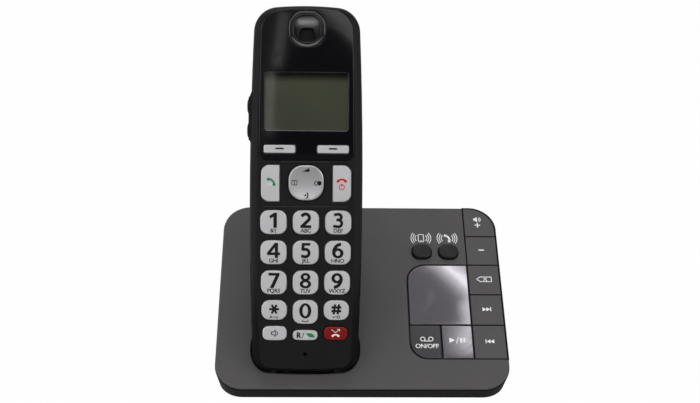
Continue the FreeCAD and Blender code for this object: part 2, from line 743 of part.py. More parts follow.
def display_parts():
    """The glossy panel, its window and the earpiece bezel."""
    panel = panel_prism(0, -panel_seat + 0.02, panel_proud)
    panel = panel.makeFillet(0.35, top_edges(panel, panel_proud))
    crest, toe = panel_bottom + 2.8, panel_bottom - 2.5
    slope = Part.makePolygon([Vector(-40, crest, panel_proud), Vector(-40, toe, panel_proud - 1.7),
                              Vector(-40, toe, 3), Vector(-40, crest, 3), Vector(-40, crest, panel_proud)])
    panel = panel.cut(Part.Face(slope).extrude(Vector(80, 0, 0)))
    cutters = [window_prism(0.1, -5, 5), ear_prism(ear_size, 0.1, -5, 5)]
    for side in (-1, 1):
        cutters.append(bowed_prism(soft_key_corners(side, key_gap), (0,) * 4, (0.9,) * 4, -5, 5))
    panel = panel.cut(cutters)
    window = window_prism(0, -face_thickness + 0.1, panel_proud - 0.12)
    ring = ear_prism(ear_size, 0, -panel_seat + 0.02, 1.1)
    ring = ring.makeFillet(0.9, top_edges(ring, 1.1))
    bowl = ear_prism(ear_bore, 0, -panel_seat + 0.6, 5)
    ring = ring.cut(bowl)
    low, high = ear_centre[1] - 5.8, ear_centre[1] + 0.3
    slot = bowed_prism(((-4.6, low), (4.6, low), (3.3, high), (-3.3, high)), (0.2, 0, 0.3, 0),
                       (1.0, 1.0, 2.3, 2.3), -5, 5)
    return {"display_panel": panel, "display_window": window, "earpiece_bezel": ring.cut(slot)}


def handset_pieces():
    """Every piece of the handset, by name, in the handset frame."""
    pieces = {"handset_front_shell": front_shell(), "handset_rear_shell": rear_shell(),
              "battery_cover": battery_cover(), "side_rocker": side_rocker()}
    pieces.update(display_parts())
    pieces.update(handset_inside())
    for name, width, height, centre, radius, bow in dial_keys():
        pieces[name] = dial_key(width, height, centre, radius, bow)
    pieces["talk_key"], pieces["off_key"] = call_key(-1), call_key(1)
    pieces["soft_key_left"], pieces["soft_key_right"] = soft_key(-1), soft_key(1)
    pieces["nav_key"], pieces["nav_carrier"] = navigator()
    return pieces


# ---------------------------------------------------------------- base plate

def foot_above():
    """Height of the foot over the plate at which the well's lowest corner is at its level."""
    rise, tilt = math.radians(handset_rise), math.radians(plate_tilt)
    depth = back_depth(0.0) + cradle_back_gap + cradle_wall
    along = foot_along + depth * math.sin(rise)
    return (well_lowest - front_height - along * math.sin(tilt)) / math.cos(tilt) + depth * math.cos(rise)


foot_height_above = foot_above()
in_plate = Placement(Vector(handset_x, foot_along, foot_height_above), Rotation(ACROSS, handset_rise))


def moved(shape, placement):
    """A copy of a shape carried by a placement."""
    return shape.transformed(placement.toMatrix(), True)


def plate_prism(margin, low, high):
    """The outline of the base, taken in by a margin, as a prism in the plate frame."""
    half = base_width / 2 - margin
    front, back = margin, base_depth - margin
    corners = ((-half, front), (half, front), (half, back), (-half, back))
    return bowed_prism(corners, (0,) * 4, (corner_radius - margin,) * 4, low, high)


def base_key_outlines():
    """Corners and radii of each flush key and the window on the plate's right side."""
    outlines = {}
    names = ("volume_up_key", "volume_down_key", "erase_key", "skip_forward_key", "skip_back_key")
    for name, top, bottom in zip(names, row_edges, row_edges[1:]):
        corners = (column_left, bottom), (column_right, bottom), (column_right, top), (column_left, top)
        reach = corner_radius - (base_width / 2 - column_right)
        outlines[name] = (corners, (0.3, 0.3, reach if top == row_edges[0] else 0.3, 0.3))
    low, middle, high = row_edges[5], row_edges[4], row_edges[2]
    outlines["message_window"] = (((block_left, middle), (column_left, middle),
                                   (column_left, high), (block_left, high)), (0.3, 0.3, 0.3, window_radius))
    outlines["answer_key"] = (((block_left, low), (block_split, low),
                               (block_split, middle), (block_left, middle)), (answer_radius, 0.3, 0.3, 0.3))
    outlines["play_key"] = (((block_split, low), (column_left, low),
                             (column_left, middle), (block_split, middle)), (0.3,) * 4)
    return outlines


def shrunk(corners, amount):
    """Four corners of an upright rectangle moved in by an amount."""
    (x0, y0), (x1, _), (_, y1), _ = corners
    x0, x1, y0, y1 = x0 + amount, x1 - amount, y0 + amount, y1 - amount
    return (x0, y0), (x1, y0), (x1, y1), (x0, y1)


def key_well(grow, low, high):
    """The sunken area that holds the window and the flush keys."""
    column = ((column_left, row_edges[5]), (column_right, row_edges[5]),
              (column_right, row_edges[0]), (column_left, row_edges[0]))
    block = ((block_left, row_edges[5]), (column_left + 1, row_edges[5]),
             (column_left + 1, row_edges[2]), (block_left, row_edges[2]))
    reach = corner_radius - (base_width / 2 - column_right)
    radii = (0.3, 0.3, reach, 0.3)
    first = bowed_prism(shrunk(column, -gap - grow), (0,) * 4, radii, low, high)
    second = bowed_prism(shrunk(block, -gap - grow), (0,) * 4, (answer_radius, 0.3, 0.3, window_radius),
                         low, high)
    return fuse(first, second)


def stem_centre(corners):
    """Where a base key's stem stands: its middle, kept clear of the rounded rear corner."""
    (x0, y0), (x1, _), (_, y1), _ = corners
    return (x0 + x1) / 2, min((y0 + y1) / 2, row_edges[0] - 13.0)


def flush_key(corners, radii):
    """A flush base key: its cap and its stem."""
    cap = bowed_prism(shrunk(corners, gap), (0,) * 4, radii, -cap_thickness, 0)
    cap = cap.makeFillet(0.25, top_edges(cap, 0))
    centre = stem_centre(corners)
    stem = pad(stem_side, stem_side, centre, 0.8, -cap_thickness - stem_length, -cap_thickness + 0.1)
    return fuse(cap, stem)


def locator_key(centre):
    """A domed soft button that stands proud of the plate."""
    def outline(grow, low, high):
        width, height = locator_size[0] + 2 * grow, locator_size[1] + 2 * grow
        return pad(width, height, centre, locator_corner + grow, low, high, 0.3)
    cap = crowned(outline(0, -plate_thickness - 0.5, 9), centre, locator_height, 26)
    cap = softened(cap, 0.9)
    flange = outline(1.0, -plate_thickness - 1.1, -plate_thickness - flange_clear)
    stem = cylinder(2.5, centre, -cap_thickness - stem_length, -plate_thickness - 1.0)
    return fuse(cap, flange, stem)


def back_rest():
    """The hollow ramp behind the handset, in the plate frame, before the handset's room is cut."""
    rise = math.radians(handset_rise)

    def on_plate(along, depth):
        y = foot_along + along * math.cos(rise) + depth * math.sin(rise)
        return y, foot_height_above + along * math.sin(rise) - depth * math.cos(rise)

    def wedge(inset):
        crest = on_plate(rest_top - inset, back_depth(rest_top) - 4)
        heel = on_plate(rest_top - inset, back_depth(rest_top) + 5.5 - inset)
        points = [(26.0, -plate_thickness), crest, heel, (93.0 - inset * 1.4, -plate_thickness)]
        lower = -plate_thickness - (0.5 if inset else -0.2)
        points[0], points[3] = (26.0, lower), (points[3][0], lower)
        ring = [Vector(-rest_half_width + inset, y, z) for y, z in points]
        face = Part.Face(Part.makePolygon(ring + ring[:1]))
        return face.extrude(Vector(2 * (rest_half_width - inset), 0, 0)).translated(Vector(handset_x, 0, 0))

    outer = wedge(0.0)
    long_edges = [e for e in outer.Edges if e.BoundBox.ZMin > 1.0 or
                  (e.BoundBox.ZLength > 5 and e.BoundBox.XLength < 0.1 and e.BoundBox.YMin > 60)]
    return outer.makeFillet(2.0, long_edges), wedge(rest_wall)


def handset_room(side_gap, back_gap, end_gap, radius):
    """The space that the docked handset needs, in the plate frame."""
    room = handset_prism(-side_gap, -end_gap, -60, 60).cut(behind_back(back_gap))
    back = min(room.Faces, key=lambda face: face.CenterOfMass.z)
    return moved(room.makeFillet(radius, back.OuterWire.Edges), in_plate)


contact_x = terminal_x
contact_z = (terminal_z[0] + 0.4, terminal_z[1] - 0.4)
contact_tip = 0.03
contact_flange = 0.8


def contact(side):
    """One sprung charge contact that reaches through the end of the well, in the handset frame."""
    x = side * contact_x
    z0, z1 = contact_z
    tab = box(x - 1.4, x + 1.4, -cradle_end_gap - cradle_wall - 1.2, contact_tip, z0, z1)
    tab = tab.makeFillet(0.4, [e for e in tab.Edges if abs(e.BoundBox.YMin - contact_tip) < 1e-6])
    y = -cradle_end_gap - cradle_wall
    flange = box(x - 2.2, x + 2.2, y - 1.2, y - 1.2 + contact_flange, z0, z1 + 0.8)
    return fuse(tab, flange)


def contact_slot(side):
    """The slot for a charge contact, in the handset frame."""
    x = side * contact_x
    z0, z1 = contact_z
    return box(x - 1.65, x + 1.65, -9, -0.6, z0 - 0.25, z1 + 0.25)


def seat_ribs():
    """Two ribs at the end of the well that the foot stands on, in the handset frame."""
    return [box(x - 1.2, x + 1.2, -cradle_end_gap - 0.3, -0.3, -14.2, -9.5) for x in (-15.5, 15.5)]


def top_cover():
    """The base's top moulding: plate, cradle well, back rest and the tray under the keys."""
    cover = plate_prism(plate_margin, -plate_thickness, 0)
    cover = cover.makeFillet(0.45, top_edges(cover, 0))
    groove = plate_prism(-2, -plate_thickness - 0.1, -edge_thickness)
    cover = cover.cut(groove.cut(plate_prism(plate_margin + edge_overhang, -9, 9)))
    rest, hollow = back_rest()
    cover = fuse(cover, rest).cut(hollow)
    below = box(-200, 200, -200, 300, -80, -plate_thickness / 2)
    well = handset_room(cradle_side_gap + cradle_wall, cradle_back_gap + cradle_wall,
                        cradle_end_gap + cradle_wall, back_radius + 1.4).common(below)
    cover = fuse(cover, well)
    cover = cover.cut(handset_room(cradle_side_gap, cradle_back_gap, cradle_end_gap, back_radius))
    for rib in seat_ribs():
        cover = fuse(cover, moved(rib, in_plate))
    cover = cover.cut([moved(contact_slot(side), in_plate) for side in (-1, 1)])
    posts = []
    for place in base_screw_places:
        post = moved(cylinder(boss_radius - 0.3, place, boss_level + 0.05, 60), to_floor.inverse())
        hole = moved(cylinder(base_screw_radius + 0.05, place, 0, boss_level + 12), to_floor.inverse())
        posts.append(post.cut(hole))
    posts += [cylinder(post_radius, place, board_top + 0.05, 0) for place in board_posts]
    under_plate = plate_prism(housing_wall + wall_clear, -60, -plate_thickness / 2)
    cover = fuse(cover, *[post.common(under_plate) for post in posts])
    inside = plate_prism(housing_wall + wall_clear, -60, 0)
    tray = key_well(1.3, -well_depth - well_floor, -plate_thickness / 2).common(inside)
    cover = fuse(cover, tray).cut(key_well(0, -well_depth, 9))
    for name, (corners, _) in base_key_outlines().items():
        centre = stem_centre(corners)
        if name == "message_window":
            cover = cover.cut(pad(24.0, 14.0, centre, 1.0, -60, 9))
        else:
            cover = cover.cut(pad(stem_side + 0.5, stem_side + 0.5, centre, 1.0, -60, 9))
    for place in locator_centres:
        cover = cover.cut(pad(locator_size[0] + 2 * key_gap, locator_size[1] + 2 * key_gap, place,
                              locator_corner + key_gap, -60, 9, 0.3))
    return cover


# ---------------------------------------------------------------- base housing and inside

to_floor = Placement(Vector(0, 0, front_height), Rotation(ACROSS, plate_tilt))


def floor_extent():
    """Front and back of the plate's outline on the table, and the floor's own insets."""
    back = base_depth * math.cos(math.radians(plate_tilt))
    return undercut, back - undercut


def sloped_outline(margin, level):
    """The base's outline at a level of the plate frame, moved to the common frame."""
    prism = plate_prism(margin, level, level + 1)
    wire = Part.Wire(Part.__sortEdges__(top_edges(prism, level)))
    return moved(wire, to_floor)


def floor_outline(margin, level):
    """The base's outline at the floor."""
    front, back = floor_extent()
    half = base_width / 2 - undercut - margin
    front, back = front + margin, back - margin
    corners = ((-half, front), (half, front), (half, back), (-half, back))
    prism = bowed_prism(corners, (0,) * 4, (corner_radius - undercut - margin,) * 4, level, level + 1)
    return Part.Wire(Part.__sortEdges__(top_edges(prism, level)))


def inside_lip(clear):
    """Everything inside the housing's thin edge, less a clearance."""
    margin = lip_thickness + clear
    return Part.makeLoft([floor_outline(margin, foot_height), sloped_outline(margin, 0.3)], True, True)


def housing():
    """The base's lower moulding: leaning walls, floor, key notch, jack openings and bosses."""
    rim = -plate_thickness
    outer = Part.makeLoft([floor_outline(0, foot_height), sloped_outline(0, rim)], True, True)
    inner = Part.makeLoft([floor_outline(housing_wall, foot_height + floor_thickness),
                           sloped_outline(housing_wall, rim + 0.01)], True, True)
    shell = outer.cut(inner)
    beside_keys = box(column_left - gap, base_width, row_edges[5] - gap, base_depth + 5, -9, 9)
    lip = plate_prism(0, rim - 0.3, -lip_drop).common(beside_keys)
    shell = fuse(shell, moved(lip, to_floor))
    notch = moved(key_well(3.5, -well_depth - 0.3, 9).common(beside_keys), to_floor)
    shell = shell.cut(notch.common(inside_lip(0)))
    back = base_depth * math.cos(math.radians(plate_tilt))
    line_opening = box(line_jack_x - 6.6, line_jack_x + 6.6, back - 8, back + 8,
                       jack_height - 5.2, jack_height + 5.2)
    power_opening = Part.makeCylinder(4.6, 20, Vector(power_jack_x, back - 10, jack_height), Vector(0, 1, 0))
    shell = shell.cut([line_opening, power_opening])
    shell = fuse(shell, *[cylinder(boss_radius, place, foot_height, boss_level)
                          for place in base_screw_places])
    shell = fuse(shell, *[cylinder(post_radius, place, foot_height, jack_board_level - 0.1)
                          for place in jack_posts])
    for place in base_screw_places:
        shell = shell.cut([cylinder(base_screw_radius + 0.3, place, 0, 60),
                           cylinder(screw_seat_radius, place, 0, screw_seat)])
    slots = []
    for i in range(7):
        x = speaker_centre[0] + (i - 3) * 4.0
        half = math.sqrt(15.0 ** 2 - (x - speaker_centre[0]) ** 2)
        slots.append(box(x - 0.8, x + 0.8, speaker_centre[1] - half, speaker_centre[1] + half, 0, 6))
    return shell.cut(slots)



def base_inside():
    """The parts inside the base and under it, by name; plate-frame ones are moved first."""
    pieces = {}
    low = board_top - board_thickness
    right, middle = column_right - 4.4, row_edges[1] + 2.7
    board = fuse(box(board_left, right, column_bottom + 0.8, middle, low, board_top),
                 box(column_left + 0.6, right, middle - 1, middle + 6.0, low, board_top))
    back = base_depth * math.cos(math.radians(plate_tilt))
    second = box(line_jack_x - 8.0, power_jack_x + 6.0, back - 15.0, back - 5.0,
                 jack_board_level, jack_board_level + board_thickness)
    pieces["base_boards"] = Part.makeCompound([moved(board, to_floor), second])
    top, right, middle = board_top + mat_thickness, column_right - 4.9, row_edges[1] - 4.8
    mat = fuse(box(block_left - 0.9, right, column_bottom + 1.3, middle, board_top, top),
               box(column_left + 1.1, right, middle - 0.5, middle + 13.0, board_top, top))
    domes = []
    for name, (corners, _) in base_key_outlines().items():
        if name != "message_window":
            centre = stem_centre(corners)
            domes.append(cylinder(3.0, centre, board_top + 0.1, board_top + mat_thickness + 0.6))
    for centre in locator_centres:
        domes.append(cylinder(3.0, centre, board_top + 0.1, board_top + mat_thickness + 0.6))
    centre = ((block_left + column_left) / 2, (row_edges[4] + row_edges[2]) / 2)
    mat = fuse(mat, *domes).cut(pad(26.0, 16.0, centre, 1.0, -60, 9))
    pieces["base_key_mat"] = moved(mat, to_floor)
    digits = fuse(pad(22.6, 12.6, centre, 0.5, board_top + 0.05, -cap_thickness - 0.4),
                  pad(25.4, 15.4, centre, 0.5, board_top + 0.05, board_top + 1.0))
    pieces["message_display"] = moved(digits, to_floor)
    floor = foot_height + floor_thickness
    cone = Part.makeCone(speaker_radius - 2, 9.0, 6.0, Vector(*speaker_centre, floor + 2.0))
    pieces["base_speaker"] = fuse(cylinder(speaker_radius, speaker_centre, floor + 0.05, floor + 2.1), cone,
                                  cylinder(9.0, speaker_centre, floor + 7.9, floor + 11.0))
    feet = []
    front, back = floor_extent()
    for x in (-base_width / 2 + foot_inset, base_width / 2 - foot_inset):
        for y in (front + foot_inset - undercut, back - foot_inset + undercut):
            foot = cylinder(foot_radius, (x, y), 0, foot_height)
            feet.append(foot.makeChamfer(0.3, top_edges(foot, 0)))
    pieces["rubber_feet"] = Part.makeCompound(feet)
    tips = [min(boss_level + 10, front_height + y * math.tan(math.radians(plate_tilt)) - 2.4)
            for _, y in base_screw_places]
    pieces["base_screws"] = screws(base_screw_places, [screw_seat - 0.1] * 4, tips, screw_seat_radius - 0.3,
                                   base_screw_radius)
    return pieces


def jacks():
    """The telephone line socket and the power socket in the rear wall."""
    back = base_depth * math.cos(math.radians(plate_tilt)) - 1.7
    inner = back + 1.7 - undercut - housing_wall - 0.1
    body = box(line_jack_x - 6.4, line_jack_x + 6.4, back - 13, back, jack_height - 5.0, jack_height + 5.0)
    mouth = box(line_jack_x - 4.9, line_jack_x + 4.9, back - 11.5, back + 1,
                jack_height - 3.4, jack_height + 3.4)
    latch = box(line_jack_x - 1.7, line_jack_x + 1.7, back - 11.5, back + 1, jack_height - 4.5, jack_height)
    line = body.cut([mouth, latch])
    shell = box(power_jack_x - 4.4, power_jack_x + 4.4, back - 11, inner, jack_height - 5, jack_height + 4.4)
    collar = Part.makeCylinder(4.3, 4, Vector(power_jack_x, back - 4, jack_height), Vector(0, 1, 0))
    bore = Part.makeCylinder(2.9, 10, Vector(power_jack_x, back - 9.5, jack_height), Vector(0, 1, 0))
    pin = Part.makeCylinder(0.9, 9.0, Vector(power_jack_x, back - 9.6, jack_height), Vector(0, 1, 0))
    return {"line_jack": line, "power_jack": fuse(shell.fuse(collar).cut(bore), pin)}


def base_pieces():
    """Every piece of the base, by name, in the common frame with the plate's front edge at y 0."""
    pieces = {"base_top_cover": moved(top_cover(), to_floor), "base_housing": housing()}
    for name, (corners, radii) in base_key_outlines().items():
        if name == "message_window":
            pane = bowed_prism(shrunk(corners, gap), (0,) * 4, radii, -cap_thickness, 0)
            pieces[name] = moved(pane.makeFillet(0.25, top_edges(pane, 0)), to_floor)
        else:
            pieces[name] = moved(flush_key(corners, radii), to_floor).common(inside_lip(lip_clear))
    for name, centre in zip(("locator_key_left", "locator_key_right"), locator_centres):
        pieces[name] = moved(locator_key(centre), to_floor)
    pieces.update(base_inside())
    pieces.update(jacks())
    for name, side in (("charge_contact_left", -1), ("charge_contact_right", 1)):
        pieces[name] = moved(contact(side), to_floor.multiply(in_plate))
    return pieces


def all_pieces():
    """Every piece in the common frame: origin on the table, in the middle of the whole object."""
    pieces = base_pieces()
    for name, shape in handset_pieces().items():
        pieces[name] = moved(shape, to_floor.multiply(in_plate))
    shift = Vector(0, -middle_y(pieces), 0)
    return {name: shape.translated(shift) for name, shape in pieces.items()}


def middle_y(pieces):
    """Half-way between the front of the base and the back of the handset."""
    front = pieces["base_housing"].optimalBoundingBox(False).YMin
    back = pieces["handset_rear_shell"].optimalBoundingBox(False).YMax
    return (front + back) / 2


def main():
    os.makedirs("parts", exist_ok=True)
    for name, shape in all_pieces().items():
        shape.exportStep(os.path.join("parts", name + ".step"))


if __name__ == "__main__":
    main()
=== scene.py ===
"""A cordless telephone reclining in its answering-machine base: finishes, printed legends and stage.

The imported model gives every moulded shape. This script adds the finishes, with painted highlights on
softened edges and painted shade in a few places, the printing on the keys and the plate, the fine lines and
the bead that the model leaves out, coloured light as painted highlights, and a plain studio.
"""
import json
import math

import bmesh
import bpy
from bpy.props import FloatProperty, FloatVectorProperty, PointerProperty
from mathutils import Matrix, Vector
from mathutils.bvhtree import BVHTree
from mathutils.geometry import tessellate_polygon


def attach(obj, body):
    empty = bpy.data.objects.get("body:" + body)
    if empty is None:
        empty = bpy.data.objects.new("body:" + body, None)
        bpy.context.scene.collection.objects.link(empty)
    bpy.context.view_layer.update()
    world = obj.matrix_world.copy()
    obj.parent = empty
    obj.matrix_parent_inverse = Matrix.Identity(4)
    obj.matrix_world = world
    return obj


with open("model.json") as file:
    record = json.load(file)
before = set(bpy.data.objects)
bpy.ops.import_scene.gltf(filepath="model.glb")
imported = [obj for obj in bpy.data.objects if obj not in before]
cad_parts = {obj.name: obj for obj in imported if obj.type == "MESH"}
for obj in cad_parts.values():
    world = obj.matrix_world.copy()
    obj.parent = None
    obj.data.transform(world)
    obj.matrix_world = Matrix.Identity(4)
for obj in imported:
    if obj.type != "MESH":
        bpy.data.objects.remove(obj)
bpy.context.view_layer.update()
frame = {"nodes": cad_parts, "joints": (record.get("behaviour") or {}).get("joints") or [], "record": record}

bl_info = {
    "name": "Cordless telephone",
    "version": (1, 0, 0),
    "blender": (4, 5, 0),
    "location": "3D View > Sidebar > Telephone",
    "description": "Finishes, legends and studio for a cordless telephone on its base",
    "category": "Object",
}

MM = 0.001
FONT_CAP = 0.682  # height of a capital in the built-in font, as a share of its size
LETTER_CAP = 1.85  # height of the small letters that the drawn M goes with, in millimetres
FIGURE_CAP = 7.1  # height that the outlines of the figures are drawn at, in millimetres
PRINT_GRID = 1.8  # spacing of the cuts that let a print follow a curved key, in millimetres
SINK = 0.02 * MM  # how far below a surface the things laid on it start
NOTCH_UP = (36.0 * MM, 52.8 * MM)  # belt clip's notches, above the handset's foot
NOTCH_DEEP = (3.3 * MM, 5.5 * MM)  # and below the front shell's highest level
SHOULDER_UP = (35 * MM, 55 * MM)  # levels between which the painted shade of the foot's shoulder fades out
JOINTS = {joint["name"]: joint for joint in frame["joints"]}
COLOURS = {m["slot"]: tuple(m["base_color"][:3]) for m in frame["record"]["materials"]}


# ---------------------------------------------------------------- working faces

class Face:
    """A flat working frame on the object: across it, up it and out of it."""

    def __init__(self, out, up=None):
        out = Vector(out).normalized()
        across = Vector((1, 0, 0))
        up = Vector(up).normalized() if up else out.cross(across)
        self.turn = Matrix((across, up, out)).transposed()
        self.extents = {}
        self.trees = {}

    def extent(self, name):
        """Lowest and highest corner of a CAD node, measured along this face."""
        if name not in self.extents:
            back = self.turn.transposed()
            places = list(zip(*(back @ v.co for v in frame["nodes"][name].data.vertices)))
            self.extents[name] = [Vector([pick(line) for line in places]) for pick in (min, max)]
        return self.extents[name]

    def centre(self, name):
        """The middle of a CAD node, at its highest level."""
        low, high = self.extent(name)
        return Vector(((low.x + high.x) / 2, (low.y + high.y) / 2, high.z))

    def surface(self, name, x, y):
        """Height of a CAD node's top surface over a point of the face, or None beside it."""
        if name not in self.trees:
            mesh = frame["nodes"][name].data
            self.trees[name] = BVHTree.FromPolygons([v.co for v in mesh.vertices],
                                                    [p.vertices for p in mesh.polygons])
        start = self.turn @ Vector((x, y, self.extent(name)[1].z + 10 * MM))
        hit = self.trees[name].ray_cast(start, -self.turn.col[2])
        return (self.turn.transposed() @ hit[0]).z if hit[0] else None


# The handset's front and the base's plate, each square to the way that its keys are pressed.
HANDSET = Face(-Vector(JOINTS["key_5_press"]["axis"]), JOINTS["handset_lift"]["axis"])
PLATE = Face(-Vector(JOINTS["erase_key_press"]["axis"]))


# ---------------------------------------------------------------- settings

def colour(slot, name, description):
    """A colour setting whose default is the record's colour for a slot."""
    return FloatVectorProperty(name=name, description=description, subtype="COLOR", size=3,
                               min=0, max=1, default=COLOURS[slot])


class PHONE_PG_finish(bpy.types.PropertyGroup):
    """Colours and surface textures."""
    plate: colour("base_top_plastic", "Top plate", "Sloping plate of the base")
    flush_keys: colour("base_key_plastic", "Flush keys", "Column of keys at the plate's right")
    housing: colour("base_lower_plastic", "Housing", "Lower shell of the base")
    shell: colour("handset_front_plastic", "Front shell", "Handset's front moulding")
    rear: colour("handset_rear_plastic", "Rear shell", "Handset's rear moulding, cover and side rocker")
    panel: colour("panel_gloss", "Panel", "Glossy upper panel")
    keys: colour("key_silver", "Keys", "Silver lacquer on the keys")
    navigator: colour("nav_silver", "Navigator", "Brighter lacquer on the four-way key")
    block_key: colour("key_red", "Red key", "Lacquer on the red key")
    bezel: colour("bezel_gloss", "Bezel", "Earpiece's gloss surround")
    mirror: colour("smoky_mirror", "Window", "Smoked half-mirror of the message window")
    answer_key: colour("smoky_gloss", "Answer key", "Smoked gloss of the answer key")
    rubber: colour("soft_rubber", "Rubber", "Domed soft buttons and feet")
    display: colour("lcd_face", "Display", "Liquid-crystal panel with no figures on it")
    grain: FloatProperty(name="Grain", description="Spacing of the moulded texture", subtype="DISTANCE",
                         default=0.28 * MM, min=0.05 * MM, max=2 * MM)
    grain_depth: FloatProperty(name="Grain depth", description="Height of the moulded texture",
                               subtype="DISTANCE", default=0.012 * MM, min=0, max=0.2 * MM)
    edge: FloatProperty(name="Edge", description="Radius that hard edges are softened to",
                        subtype="DISTANCE", default=0.25 * MM, min=0, max=2 * MM)


class PHONE_PG_legends(bpy.types.PropertyGroup):
    """Sizes of the printed figures and signs."""
    digit: FloatProperty(name="Digit height", description="Height of the figures on the dial keys",
                         subtype="DISTANCE", default=7.3 * MM, min=1 * MM, max=10 * MM)
    letter: FloatProperty(name="Letter height", description="Height of the small letters on the dial keys",
                          subtype="DISTANCE", default=LETTER_CAP * MM, min=0.5 * MM, max=4 * MM)
    ink: FloatProperty(name="Ink", description="Thickness of the print above the surface",
                       subtype="DISTANCE", default=0.025 * MM, min=0.005 * MM, max=0.2 * MM)


class PHONE_PG_stage(bpy.types.PropertyGroup):
    """Camera and lights."""
    camera: FloatVectorProperty(name="Camera", description="Where the camera stands", subtype="TRANSLATION",
                                unit="LENGTH", size=3, default=(-0.0225, -0.4369, 0.4036))
    pitch: FloatProperty(name="Pitch", description="How far the camera looks down", subtype="ANGLE",
                         default=math.radians(37.00))
    yaw: FloatProperty(name="Yaw", description="How far the camera looks to the right", subtype="ANGLE",
                       default=math.radians(2.065))
    roll: FloatProperty(name="Roll", description="How far the camera leans", subtype="ANGLE",
                        default=math.radians(1.63))
    lens: FloatProperty(name="Lens", description="Focal length in millimetres on a 36 mm wide frame",
                        default=57.07, min=10, max=300)
    light: FloatProperty(name="Light", description="Strength of all the lamps together", default=1.0,
                         min=0, max=10)


# ---------------------------------------------------------------- shader building blocks

def fill(tree, made, inputs):
    """Sets the inputs of a node to values, or links them to sockets."""
    for key, value in inputs.items():
        if isinstance(value, bpy.types.NodeSocket):
            tree.links.new(value, made.inputs[key])
        else:
            made.inputs[key].default_value = value


def node(tree, kind, inputs=None, **settings):
    """A shader node with its settings and its inputs."""
    made = tree.nodes.new(kind)
    for key, value in settings.items():
        setattr(made, key, value)
    fill(tree, made, inputs or {})
    return made


def calc(tree, operation, *values):
    """The result of a sum on sockets or numbers."""
    return node(tree, "ShaderNodeMath", dict(enumerate(values)), operation=operation).outputs[0]


def ramp(tree, value, low, high, start=0.0, end=1.0):
    """Goes from start to end while a socket goes from low to high, and stays at either beyond them."""
    return node(tree, "ShaderNodeMapRange", {"Value": value, "From Min": low, "From Max": high,
                                             "To Min": start, "To Max": end}).outputs["Result"]


def noise(tree, place, scale, **inputs):
    """Soft noise between 0 and 1."""
    return node(tree, "ShaderNodeTexNoise", {"Vector": place, "Scale": scale, **inputs}).outputs["Fac"]


def dot(tree, vector, direction):
    """How far a vector socket reaches in a direction."""
    made = node(tree, "ShaderNodeVectorMath", {0: vector, 1: direction}, operation="DOT_PRODUCT")
    return made.outputs["Value"]


def mixed(tree, factor, first, second):
    """A colour between two colours or colour sockets."""
    made = node(tree, "ShaderNodeMix", data_type="RGBA")
    slots = [s for s in made.inputs if s.type == "RGBA"]
    for socket, value in zip((made.inputs["Factor"], *slots), (factor, first, second)):
        if isinstance(value, bpy.types.NodeSocket):
            tree.links.new(value, socket)
        else:
            socket.default_value = value if isinstance(value, float) else (*value[:3], 1)
    return next(s for s in made.outputs if s.type == "RGBA")


def group(name, inputs, outputs, build):
    """A shader node group with named sockets, made the first time that it is asked for."""
    tree = bpy.data.node_groups.get(name)
    if tree is None:
        tree = bpy.data.node_groups.new(name, "ShaderNodeTree")
        for label, default in inputs:
            socket = tree.interface.new_socket(label, in_out="INPUT", socket_type="NodeSocketFloat")
            socket.default_value = default
        for label, kind in outputs:
            tree.interface.new_socket(label, in_out="OUTPUT", socket_type=kind)
        source = tree.nodes.new("NodeGroupInput")
        results = build(tree, source.outputs)
        target = tree.nodes.new("NodeGroupOutput")
        for label, socket in results.items():
            tree.links.new(socket, target.inputs[label])
    return tree


FLOAT, VECTOR = "NodeSocketFloat", "NodeSocketVector"


def moulded_grain():
    """Fine moulded texture with slow changes of tone and gloss, in object coordinates."""
    def build(tree, given):
        place = node(tree, "ShaderNodeTexCoord").outputs["Object"]
        fine = noise(tree, place, calc(tree, "DIVIDE", 1.0, given["Spacing"]), Detail=2.5, Roughness=0.62)
        slow = noise(tree, place, 38.0, Detail=4.0, Roughness=0.6)
        rough, tone = given["Roughness"], 1.0
        for centred in (calc(tree, "SUBTRACT", slow, 0.5), calc(tree, "SUBTRACT", fine, 0.5)):
            rough = calc(tree, "MULTIPLY_ADD", centred, given["Spread"], rough)
            tone = calc(tree, "MULTIPLY_ADD", centred, given["Tone"], tone)
        return {"Height": fine, "Roughness": rough, "Tone": tone}
    inputs = (("Spacing", 0.3 * MM), ("Roughness", 0.5), ("Spread", 0.15), ("Tone", 0.2))
    return group("moulded_grain", inputs, (("Height", FLOAT), ("Roughness", FLOAT), ("Tone", FLOAT)), build)


def soft_edges():
    """Normal with hard edges rounded off, and a mask of where they are."""
    def build(tree, given):
        rounded = node(tree, "ShaderNodeBevel", {"Radius": given["Radius"]}, samples=6).outputs["Normal"]
        flat = node(tree, "ShaderNodeNewGeometry").outputs["Normal"]
        bent = calc(tree, "SUBTRACT", 1.0, dot(tree, rounded, flat))
        return {"Normal": rounded, "Edge": ramp(tree, bent, 0.0, 0.18)}
    return group("soft_edges", (("Radius", 0.25 * MM),), (("Normal", VECTOR), ("Edge", FLOAT)), build)


def handling():
    """Faint smears and hairlines on a polished surface."""
    def build(tree, given):
        place = node(tree, "ShaderNodeTexCoord").outputs["Object"]
        smear = noise(tree, place, 55.0, Detail=5.0, Distortion=1.2)
        stretch = node(tree, "ShaderNodeMapping", {"Vector": place, "Rotation": (0.3, 0.2, 0.7),
                                                   "Scale": (1.0, 45.0, 1.0)}).outputs["Vector"]
        hair = ramp(tree, noise(tree, stretch, 90.0, Detail=2.0), 0.66, 0.72, end=0.5)
        both = calc(tree, "MAXIMUM", ramp(tree, smear, 0.48, 0.75), hair)
        return {"Smears": calc(tree, "MULTIPLY", both, given["Amount"])}
    return group("handling", (("Amount", 0.3),), (("Smears", FLOAT),), build)


